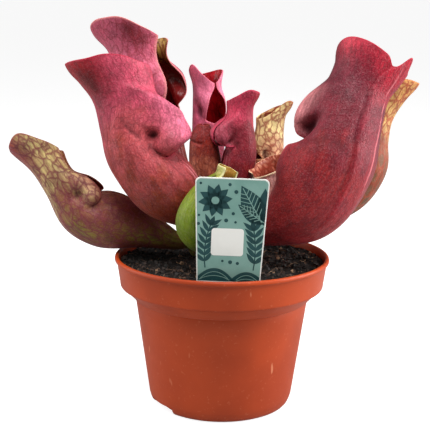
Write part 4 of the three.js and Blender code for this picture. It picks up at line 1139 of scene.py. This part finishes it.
def crumb_mesh(name, settings, rng):
    """Loose crumbs and fibres that lie on the peat, as one mesh that holds a tone for each face."""
    vertices, faces, tones = [], [], []
    level = settings.level / MM
    clear = LABEL_CLEARANCE
    block = [(x, y, z) for z in (-1, 1) for x, y in ((-1, -1), (1, -1), (1, 1), (-1, 1))]
    sides = [(0, 3, 2, 1), (4, 5, 6, 7), (0, 1, 5, 4), (1, 2, 6, 5), (2, 3, 7, 6), (3, 0, 4, 7)]

    def spot():
        while True:
            radius, turn = CRUMBS_RADIUS * math.sqrt(rng.random()), 2 * math.pi * rng.random()
            x, y = radius * math.cos(turn), radius * math.sin(turn)
            if abs(x - clear["x"]) > clear["half_width"] or abs(y - clear["y"]) > clear["half_depth"]:
                return x, y

    for _ in range(settings.crumbs):
        x, y = spot()
        size = 0.25 + 0.75 * rng.random() ** 2
        lift = level + peat_height(x, y) + 0.3 * size
        turn = rng.random() * 6.3
        spin = Matrix.Rotation(turn, 3, Vector([rng.uniform(-1, 1) for _ in range(3)]).normalized())
        start = len(vertices)
        for corner in block:
            shaped = Vector([c * size * (0.45 + 0.5 * rng.random()) for c in corner])
            vertices.append(tuple((spin @ shaped + Vector((x, y, lift))) * MM))
        faces += [tuple(start + k for k in side) for side in sides]
        tones += [rng.random()] * len(sides)
    for _ in range(settings.fibres):
        x, y = spot()
        heading, length = rng.random() * 2 * math.pi, 2 + 6 * rng.random() ** 2
        bend, thick, rear = rng.uniform(-0.5, 0.5), 0.06 + 0.08 * rng.random(), rng.uniform(0, 0.12)
        start, steps = len(vertices), 6
        for k in range(steps + 1):
            height = level + peat_height(x, y) + 0.25 + rear * k * length / steps
            for c in range(3):
                a = 2 * math.pi * c / 3
                vertices.append(((x + thick * math.cos(a) * math.sin(heading)) * MM,
                                 (y - thick * math.cos(a) * math.cos(heading)) * MM,
                                 (height + thick * math.sin(a)) * MM))
            x += math.cos(heading) * length / steps
            y += math.sin(heading) * length / steps
            heading += bend
            if math.hypot(x, y) > 42.3:
                x, y = x * 42.2 / math.hypot(x, y), y * 42.2 / math.hypot(x, y)
        for low in range(start, start + 3 * steps, 3):
            for c in range(3):
                d = (c + 1) % 3
                faces.append((low + c, low + d, low + 3 + d, low + 3 + c))
        faces += [(start + 2, start + 1, start), tuple(start + 3 * steps + c for c in range(3))]
        tones += [0.75 + 0.25 * rng.random()] * (3 * steps + 2)
    piece = mesh_object(name, vertices, faces, smooth=False)
    held = piece.data.attributes.new("tone", "FLOAT", "FACE")
    held.data.foreach_set("value", tones)
    return piece


class PLANT_OT_peat(bpy.types.Operator):
    """Fill the pot with peat and strew crumbs and fibres over it"""
    bl_idname = "plant.peat"
    bl_label = "Peat"

    def execute(self, context):
        settings = context.scene.plant_peat
        peat = peat_piece(settings.level / MM)
        peat.data.materials.append(stuff_material("damp_peat", tuple(settings.colour)))
        finish_piece(peat, "soil", "soil")
        crumbs = crumb_mesh("peat_crumbs", settings, random.Random(7))
        crumbs.data.materials.append(crumb_material())
        finish_piece(crumbs, "soil")
        return {"FINISHED"}


class PLANT_OT_crown(bpy.types.Operator):
    """Build the short stem that the leaves grow from, ringed by the bases of old leaves"""
    bl_idname = "plant.crown"
    bl_label = "Crown"

    def execute(self, context):
        profile = [(0, 51.0), (4.2, 51.0), (6.6, 54.0), (7.0, 58.0), (6.9, 60.0), (6.3, 61.6), (5.6, 62.8),
                   (4.6, 63.9), (3.4, 64.8), (2.0, 65.3), (0, 65.5)]
        crown = lathe("crown_stem", profile, 96)
        for vertex in crown.data.vertices:
            x, y, z = (c / MM for c in vertex.co)
            turn, radius = math.atan2(y, x), math.hypot(x, y)
            scale = 1 + 0.06 * math.cos(7 * turn + 1.1 * z) + 0.04 * math.sin(13 * turn - 0.9 * z)
            reach = min(1.0, radius / 3)
            vertex.co.x = (CROWN[0] + x * (1 + (scale - 1) * reach)) * MM
            vertex.co.y = (CROWN[1] + y * (1 + (scale - 1) * reach)) * MM
        crown.data.materials.append(stuff_material("old_stem", rgb(104, 70, 46)))
        finish_piece(crown, "crown", "crown")
        return {"FINISHED"}


# Label

def label_place():
    """From the label's own plane, X right, Y up and Z out of its printed face, to the row's frame."""
    tilt = Matrix.Rotation(math.radians(90 + LABEL_FORWARD), 4, "X")
    lean = Matrix.Rotation(math.radians(LABEL_RIGHT), 4, "Y")
    return Matrix.Translation(Vector(LABEL_FOOT)) @ lean @ tilt


def label_half_width(settings, height):
    """Half the label's width at a height over the stake's tip, in millimetres."""
    top = settings.height / MM
    wide = settings.width / MM / 2
    if height < STAKE_LENGTH:
        return STAKE_TIP + (STAKE_TOP - STAKE_TIP) * height / STAKE_LENGTH
    return STAKE_TOP + (wide - STAKE_TOP) * (height - STAKE_LENGTH) / (top - LABEL_CORNER - STAKE_LENGTH)


def label_outline(settings, inset=0.0, low=0.0):
    """The outline of the label's plate in its plane, in millimetres, anticlockwise from the lower right."""
    top = settings.height / MM - inset
    corner = LABEL_CORNER - inset * 0.6
    heights = [low] if low > STAKE_LENGTH else [0.0, STAKE_LENGTH]
    right = [(label_half_width(settings, h) - inset, h) for h in heights]
    wide = settings.width / MM / 2 - inset
    right += [(wide - corner + corner * math.cos(a), top - corner + corner * math.sin(a))
              for a in np.radians(np.linspace(0, 90, 9))]
    return right + [(-x, y) for x, y in reversed(right)]


def flat_piece(name, shapes, lift, side, thickness, split=True):
    """Flat outlines in the label's plane as one piece of a thickness. lift is the outlines' distance from the
    plane of the label's middle, on its face for side 1 and on its back for side -1."""
    place = label_place()
    mesh = bmesh.new()
    for shape in shapes:
        corners = [mesh.verts.new((place @ Vector((side * x, y, side * lift))) * MM) for x, y in shape]
        mesh.faces.new(corners)
    if split:
        bmesh.ops.triangulate(mesh, faces=mesh.faces)
        bmesh.ops.recalc_face_normals(mesh, faces=mesh.faces)
    data = bpy.data.meshes.new(name)
    mesh.to_mesh(data)
    mesh.free()
    out = (place.to_3x3() @ Vector((0, 0, side))).normalized()
    if data.polygons[0].normal.dot(out) < 0:
        data.flip_normals()
    piece = placed(name, data)
    solid = piece.modifiers.new("thickness", "SOLIDIFY")
    solid.thickness = thickness * MM
    solid.offset = -1
    return piece


def disc(x, y, radius, steps=28):
    """A round outline."""
    return [(x + radius * math.cos(2 * math.pi * k / steps), y + radius * math.sin(2 * math.pi * k / steps))
            for k in range(steps)]


def blade(x, y, length, width, turn, steps=12):
    """A pointed oval leaf that starts at a point and runs in a direction in degrees."""
    c, s = math.cos(math.radians(turn)), math.sin(math.radians(turn))
    side = [(length * k / steps, width * math.sin(math.pi * (k / steps) ** 0.8)) for k in range(steps + 1)]
    outline = side + [(u, -v) for u, v in reversed(side[1:-1])]
    return [(x + u * c - v * s, y + u * s + v * c) for u, v in outline]


def band(points, width):
    """A line of points as a strip of even width, one quad a step."""
    quads = []
    for (x0, y0), (x1, y1) in zip(points, points[1:]):
        dx, dy = x1 - x0, y1 - y0
        length = math.hypot(dx, dy)
        nx, ny = -dy / length * width / 2, dx / length * width / 2
        ex, ey = dx / length * width * 0.1, dy / length * width * 0.1
        quads.append([(x0 - nx - ex, y0 - ny - ey), (x1 - nx + ex, y1 - ny + ey),
                      (x1 + nx + ex, y1 + ny + ey), (x0 + nx - ex, y0 + ny - ey)])
    return quads


def within(shape, fence):
    """The part of a flat outline inside a convex one, the fence, whose corners go anticlockwise."""
    for (x0, y0), (x1, y1) in zip(fence, fence[1:] + fence[:1]):
        sides = [(x1 - x0) * (y - y0) - (y1 - y0) * (x - x0) for x, y in shape]
        kept = []
        for k, (x, y) in enumerate(shape):
            (u, v), before = shape[k - 1], sides[k - 1]
            if (before >= 0) != (sides[k] >= 0):
                part = before / (before - sides[k])
                kept.append((u + part * (x - u), v + part * (y - v)))
            if sides[k] >= 0:
                kept.append((x, y))
        shape = kept
        if len(shape) < 3:
            return []
    return shape


def hill_line(middle, half, foot, peak, steps):
    """Points over a rounded hill, at steps of -1 to 1 across its half width."""
    return [(middle + half * t, foot + (peak - foot) * (1 - t * t)) for t in steps]


def label_motifs():
    """Leafy sprigs, a daisy, broad leaves, hills and dots for the label's printed face."""
    shapes = []
    for start, heading, bend, count, size in (((-9.2, 19.5), 97, 4, 7, 1.3), ((9.4, 19.0), 84, -3, 6, 1.4)):
        x, y = start
        stem = [(x, y)]
        for k in range(count):
            lean = heading - bend * k
            turn = math.radians(lean)
            x, y = x + 1.9 * size * math.cos(turn), y + 1.9 * size * math.sin(turn)
            stem.append((x, y))
            for side in (42, -42):
                shapes.append(blade(x, y, 3.9 * size, 0.62 * size, lean + side))
        shapes.append(blade(x, y, 3.2 * size, 0.7 * size, heading - bend * count))
        shapes += band(stem, 0.5)
    shapes += [blade(-6.2, 46.6, 6.6, 1.7, 36 * k + 8) for k in range(10)]
    shapes += [blade(12.2, 37.6, 17.5, 4.4, 120), blade(13.0, 37.0, 15.0, 3.4, 92),
               blade(13.2, 38.0, 13.0, 3.0, 146)]
    for peak, middle, half in ((19.4, -5.5, 8.5), (18.2, 7.0, 7.5)):
        hill = hill_line(middle, half, 13.2, peak, np.linspace(-1, 1, 21))
        shapes += [[(x0, 12.0), (x1, 12.0), (x1, y1), (x0, y0)] for (x0, y0), (x1, y1) in zip(hill, hill[1:])]
    spots = [(-11.9, 53.2), (-0.9, 53), (1.6, 50.2), (-12.2, 40.6), (0.8, 41.6), (-1.8, 38.8), (1.8, 38.2),
             (-12.3, 37.2), (0.4, 22.0), (-2.6, 22.4), (3.2, 21.6)]
    shapes += [disc(x, y, 0.5 + 0.14 * (k % 3), 14) for k, (x, y) in enumerate(spots)]
    return shapes


def label_veins():
    """Pale lines over the motifs: the broad leaves' veins, furrows on the hills and the daisy's eye."""
    lines = []
    for x, y, size, lean, wide in ((12.2, 37.6, 17.5, 120, 3.4), (13.2, 38.0, 13.0, 146, 2.2)):
        c, s = math.cos(math.radians(lean)), math.sin(math.radians(lean))
        lines += band([(x + u * size * c, y + u * size * s) for u in np.linspace(0.06, 0.93, 8)], 0.32)
        for u in np.linspace(0.2, 0.76, 6):
            for side in (1, -1):
                reach = wide * math.sin(math.pi * u ** 0.8)
                ends = [(u * size, 0.0), (u * size + 0.9 * reach, side * reach)]
                lines += band([(x + p * c - q * s, y + p * s + q * c) for p, q in ends], 0.24)
    for peak, middle, half in ((17.9, -5.5, 6.6), (16.3, -5.5, 7.4), (16.8, 7.0, 5.0), (15.3, 7.0, 5.0)):
        lines += band(hill_line(middle, half, 13.6, peak, np.linspace(-0.8, 0.8, 15)), 0.26)
    return lines + [disc(-6.2, 46.6, 1.5)]


def panel_shape(x0, y0, x1, y1, corner):
    """A rectangle with round corners."""
    outline = []
    for cx, cy, start in ((x1 - corner, y0 + corner, -90), (x1 - corner, y1 - corner, 0),
                          (x0 + corner, y1 - corner, 90), (x0 + corner, y0 + corner, 180)):
        outline += [(cx + corner * math.cos(a), cy + corner * math.sin(a))
                    for a in np.radians(np.linspace(start, start + 90, 6))]
    return outline


def care_signs():
    """A small sun and three leaves for the panel on the label's back."""
    rays = [blade(-5 + 2.3 * math.cos(a), 40.5 + 2.3 * math.sin(a), 1.2, 0.25, math.degrees(a))
            for a in np.linspace(0, 2 * math.pi, 9)[:-1]]
    leaves = [blade(0.2, 44.2, 6.4, 1.9, -90), blade(5.6, 37.4, 6.2, 1.7, 78),
              blade(5.4, 37.8, 3.4, 1.0, 128)]
    return [disc(-5, 40.5, 1.7)] + rays + leaves


class PLANT_OT_label(bpy.types.Operator):
    """Build the plant label with its printed ground and motifs, front and back"""
    bl_idname = "plant.label"
    bl_label = "Label"

    def execute(self, context):
        settings = context.scene.plant_label
        outline = label_outline(settings)
        plate = flat_piece("label_plate", [outline], PLATE_THICKNESS / 2, 1, PLATE_THICKNESS, split=False)
        bevel = plate.modifiers.new("edge", "BEVEL")
        bevel.width = 0.12 * MM
        bevel.segments = 2
        applied(plate)
        white = stuff_material("label_plastic", rgb(238, 238, 232))
        ground = stuff_material("label_ground", tuple(settings.ground))
        ink = stuff_material("label_ink", tuple(settings.ink))
        plate.data.materials.append(white)
        finish_piece(plate, "label", "label")
        card = label_outline(settings, inset=PRINT_INSET, low=STAKE_LENGTH + 0.6)
        motifs = [shape for shape in (within(motif, card) for motif in label_motifs()) if shape]
        veins = [shape for shape in (within(vein, card) for vein in label_veins()) if shape]
        name_panel = panel_shape(-7.2, 24.6, 5.2, 35.6, 1.2)
        care_panel = panel_shape(-9, 34, 9, 47, 1.6)
        for name, shapes, layer, side, material in (
                ("label_print_ground", [card], 1, 1, ground),
                ("label_print_motifs", motifs, 2, 1, ink),
                ("label_print_veins", veins, 3, 1, ground),
                ("label_print_panel", [name_panel], 4, 1, white),
                ("label_back_ground", [card], 1, -1, ground),
                ("label_back_panel", [care_panel], 2, -1, white),
                ("label_back_signs", care_signs(), 3, -1, ink)):
            lift = PLATE_THICKNESS / 2 + layer * INK_THICKNESS
            piece = applied(flat_piece(name, shapes, lift, side, INK_THICKNESS))
            piece.data.materials.append(material)
            finish_piece(piece, "label")
        return {"FINISHED"}


# Leaves

def leaf_grid(leaf, fine):
    """Rows and angles of the mesh, closer at the lip, the mouth's edges, the ridges, the keel and a fold."""
    top = len(leaf["stations"])
    lip, mouth = leaf["lip"], leaf["mouth"]

    def row_density(row):
        at_lip = fine.get("close", 2.4) * np.exp(-(((row - lip - 0.15) / 0.45) ** 2))
        return 1 + at_lip + 1.2 * np.exp(-(((row - top) / 0.4) ** 2))

    def turn_density(turn):
        crowd = 1 + 2.2 * np.exp(-((turn / 8) ** 2)) + 1.2 * np.exp(-(((turn - mouth) / 8) ** 2))
        crowd += 1.6 * np.exp(-(((turn - 180) / 7) ** 2)) + 0.6 * np.exp(-(((turn - 50) / 20) ** 2))
        return crowd + (2.4 * np.exp(-(((turn - 148) / 16) ** 2)) if "fold" in fine else 0)

    rows = spread_places(row_density, 0, top, fine["rows"], [lip, 0, top])
    half = spread_places(turn_density, 0, 180, fine["columns"] // 2 + 1, [0, mouth, 180])
    return rows, np.concatenate([half, -half[-2:0:-1]])


def grid_faces(rows, angles, lip, mouth):
    """Faces of the grid's points, without those of the mouth over the lip."""
    lip_row = int(np.argmin(np.abs(rows - lip)))
    count = len(angles)
    faces = []
    for i in range(len(rows) - 1):
        for j in range(count):
            k = (j + 1) % count
            in_mouth = max(abs(angles[j]), abs(angles[k])) <= mouth + 1e-6
            if i < lip_row or not in_mouth:
                faces.append((i * count + j, i * count + k, (i + 1) * count + k, (i + 1) * count + j))
    return faces


def leaf_piece(name, leaf, fine, wall):
    """A leaf's skin with its masks, the wall's thickness inside it and one subdivision, as modifiers."""
    rows, angles = leaf_grid(leaf, fine)
    points, straight, marks = leaf_surface(leaf, fine, rows[:, None], angles[None, :])
    faces = grid_faces(rows, angles, leaf["lip"], leaf["mouth"])
    used = np.unique(np.array(faces))
    renumber = np.full(points.size // 3, -1)
    renumber[used] = np.arange(len(used))
    faces = [tuple(int(renumber[c]) for c in face) for face in faces]
    piece = mesh_object(name, points.reshape(-1, 3)[used] * MM, faces)
    space = piece.data.attributes.new("leaf_space", "FLOAT_VECTOR", "POINT")
    space.data.foreach_set("vector", straight.reshape(-1, 3)[used].ravel())
    for key, values in marks.items():
        held = piece.data.attributes.new("leaf_" + key, "FLOAT", "POINT")
        held.data.foreach_set("value", values.reshape(-1)[used])
    group = piece.vertex_groups.new(name="thickness")
    for index, value in enumerate(marks["margin"].reshape(-1)[used]):
        group.add([index], float(1 - MARGIN_THINNING * value), "REPLACE")
    solid = piece.modifiers.new("wall", "SOLIDIFY")
    solid.thickness = wall
    solid.offset = -1
    solid.vertex_group = "thickness"
    solid.material_offset = 1
    smooth = piece.modifiers.new("smooth", "SUBSURF")
    smooth.levels = 1
    smooth.render_levels = 1
    return piece


class PLANT_OT_leaves(bpy.types.Operator):
    """Build the pitcher leaves with their hoods, mouths, wings and veined skins"""
    bl_idname = "plant.leaves"
    bl_label = "Pitcher Leaves"

    def execute(self, context):
        settings = context.scene.plant_leaf
        insides = {name: inside_material(name, look) for name, look in INSIDES.items()}
        for name, leaf in LEAVES.items():
            piece = leaf_piece(name.replace("pitcher", "leaf"), leaf, FINE[name], settings.wall)
            piece.data.materials.append(leaf_material(name + "_skin", LOOKS[name], settings.sheen))
            piece.data.materials.append(insides[LOOKS[name]["inside"]])
            applied(piece)
            if len(piece.data.polygons) < LEAST_MESH:
                raise RuntimeError(f"{name} lost its skin")
            finish_piece(piece, name, name)
        return {"FINISHED"}


class PLANT_OT_finishes(bpy.types.Operator):
    """Build the shader groups that the materials share"""
    bl_idname = "plant.finishes"
    bl_label = "Shared Finishes"

    def execute(self, context):
        vein_group()
        leaf_group()
        inside_group()
        speckle_group()
        return {"FINISHED"}


# Stage, in metres. The left light has a share of the right light's power.

PLANT_MIDDLE = (0, 0, 0.08)
FLOOR_HALF = 60
LEFT_SHARE = 0.55


def soft_light(name, place, size, power):
    """A white rectangular light at a place in metres, turned to the plant's middle."""
    data = bpy.data.lights.new(name, "AREA")
    data.shape = "RECTANGLE"
    data.size, data.size_y = size
    data.energy = power
    light = placed(name, data)
    light.location = place
    light.rotation_euler = (Vector(PLANT_MIDDLE) - Vector(place)).to_track_quat("-Z", "Y").to_euler()


class PLANT_OT_stage(bpy.types.Operator):
    """Set up the pale floor, the soft studio light and the camera"""
    bl_idname = "plant.stage"
    bl_label = "Stage"

    def execute(self, context):
        settings = context.scene.plant_stage
        context.scene.view_settings.view_transform = "Standard"
        context.scene.view_settings.look = "None"
        self.floor(settings)
        context.scene.world = self.studio(settings)
        right = settings.side_light
        soft_light("left_light", (-0.62, 0.02, 0.32), (0.45, 0.6), LEFT_SHARE * right)
        soft_light("right_light", (0.62, 0.0, 0.3), (0.45, 0.6), right)
        soft_light("top_light", (0.08, -0.38, 0.85), (0.42, 0.42), settings.top_light)
        context.scene.camera = self.camera()
        return {"FINISHED"}

    def floor(self, settings):
        """The pale floor, whitened where the camera sees it directly."""
        corners = [(x * FLOOR_HALF, y * FLOOR_HALF, 0) for x, y in ((-1, -1), (1, -1), (1, 1), (-1, 1))]
        floor = mesh_object("floor", corners, [(0, 1, 2, 3)], smooth=False)
        material, tree, shader = new_material("pale_floor")
        shader.inputs["Base Color"].default_value = tuple(settings.floor_colour)
        shader.inputs["Roughness"].default_value = 0.9
        seen = node_in(tree, "ShaderNodeLightPath").outputs["Is Camera Ray"]
        tree.links.new(seen, shader.inputs["Emission Color"])
        shader.inputs["Emission Strength"].default_value = settings.floor_glow
        floor.data.materials.append(material)

    def studio(self, settings):
        """A white studio all round, which lights the plant less strongly than it looks to the camera."""
        world = bpy.data.worlds.new("studio")
        world.use_nodes = True
        tree = world.node_tree
        walls = tree.nodes["Background"]
        walls.inputs["Color"].default_value = (1, 1, 1, 1)
        seen = node_in(tree, "ShaderNodeLightPath").outputs["Is Camera Ray"]
        strength = math_of(tree, "MULTIPLY_ADD", seen, 1 - settings.ambient, settings.ambient)
        tree.links.new(strength, walls.inputs["Strength"])
        return world

    def camera(self):
        """The camera at the angle that the plant is seen from."""
        data = bpy.data.cameras.new("camera")
        data.sensor_fit = "HORIZONTAL"
        data.sensor_width = 36
        data.lens = LENS
        data.clip_start, data.clip_end = 0.01, 200
        pitch, yaw, roll = (math.radians(a) for a in (PITCH, YAW, ROLL))
        ahead = Vector((math.sin(yaw) * math.cos(pitch), math.cos(yaw) * math.cos(pitch), -math.sin(pitch)))
        level = Vector((math.cos(yaw), -math.sin(yaw), 0))
        upright = level.cross(ahead)
        right = level * math.cos(roll) + upright * math.sin(roll)
        up = upright * math.cos(roll) - level * math.sin(roll)
        camera = placed("camera", data)
        turn = Matrix((right, up, -ahead)).transposed().to_4x4()
        camera.matrix_world = Matrix.Translation(Vector(EYE) * MM) @ turn
        return camera


class PLANT_PT_panel(bpy.types.Panel):
    """Lists the steps that build the plant and their settings"""
    bl_label = "Potted Pitcher Plant"
    bl_idname = "PLANT_PT_panel"
    bl_space_type = "VIEW_3D"
    bl_region_type = "UI"
    bl_category = "Plant"

    def draw(self, context):
        for operator in OPERATORS:
            self.layout.operator(operator.bl_idname)
        for key, group in SETTINGS.items():
            box = self.layout.box()
            for name in group.__annotations__:
                box.prop(getattr(context.scene, key), name)


OPERATORS = [PLANT_OT_finishes, PLANT_OT_pot, PLANT_OT_peat, PLANT_OT_crown, PLANT_OT_label, PLANT_OT_leaves,
             PLANT_OT_stage]
SETTINGS = {"plant_pot": PotSettings, "plant_peat": PeatSettings, "plant_label": LabelSettings,
            "plant_leaf": LeafSettings, "plant_stage": StageSettings}


def register():
    for group in SETTINGS.values():
        bpy.utils.register_class(group)
    for key, group in SETTINGS.items():
        setattr(bpy.types.Scene, key, PointerProperty(type=group))
    for operator in OPERATORS:
        bpy.utils.register_class(operator)
    bpy.utils.register_class(PLANT_PT_panel)


def unregister():
    bpy.utils.unregister_class(PLANT_PT_panel)
    for operator in reversed(OPERATORS):
        bpy.utils.unregister_class(operator)
    for key in SETTINGS:
        delattr(bpy.types.Scene, key)
    for group in SETTINGS.values():
        bpy.utils.unregister_class(group)


def main():
    register()
    for operator in OPERATORS:
        name = operator.bl_idname.split(".")[1]
        getattr(bpy.ops.plant, name)()


if __name__ == "__main__":
    main()
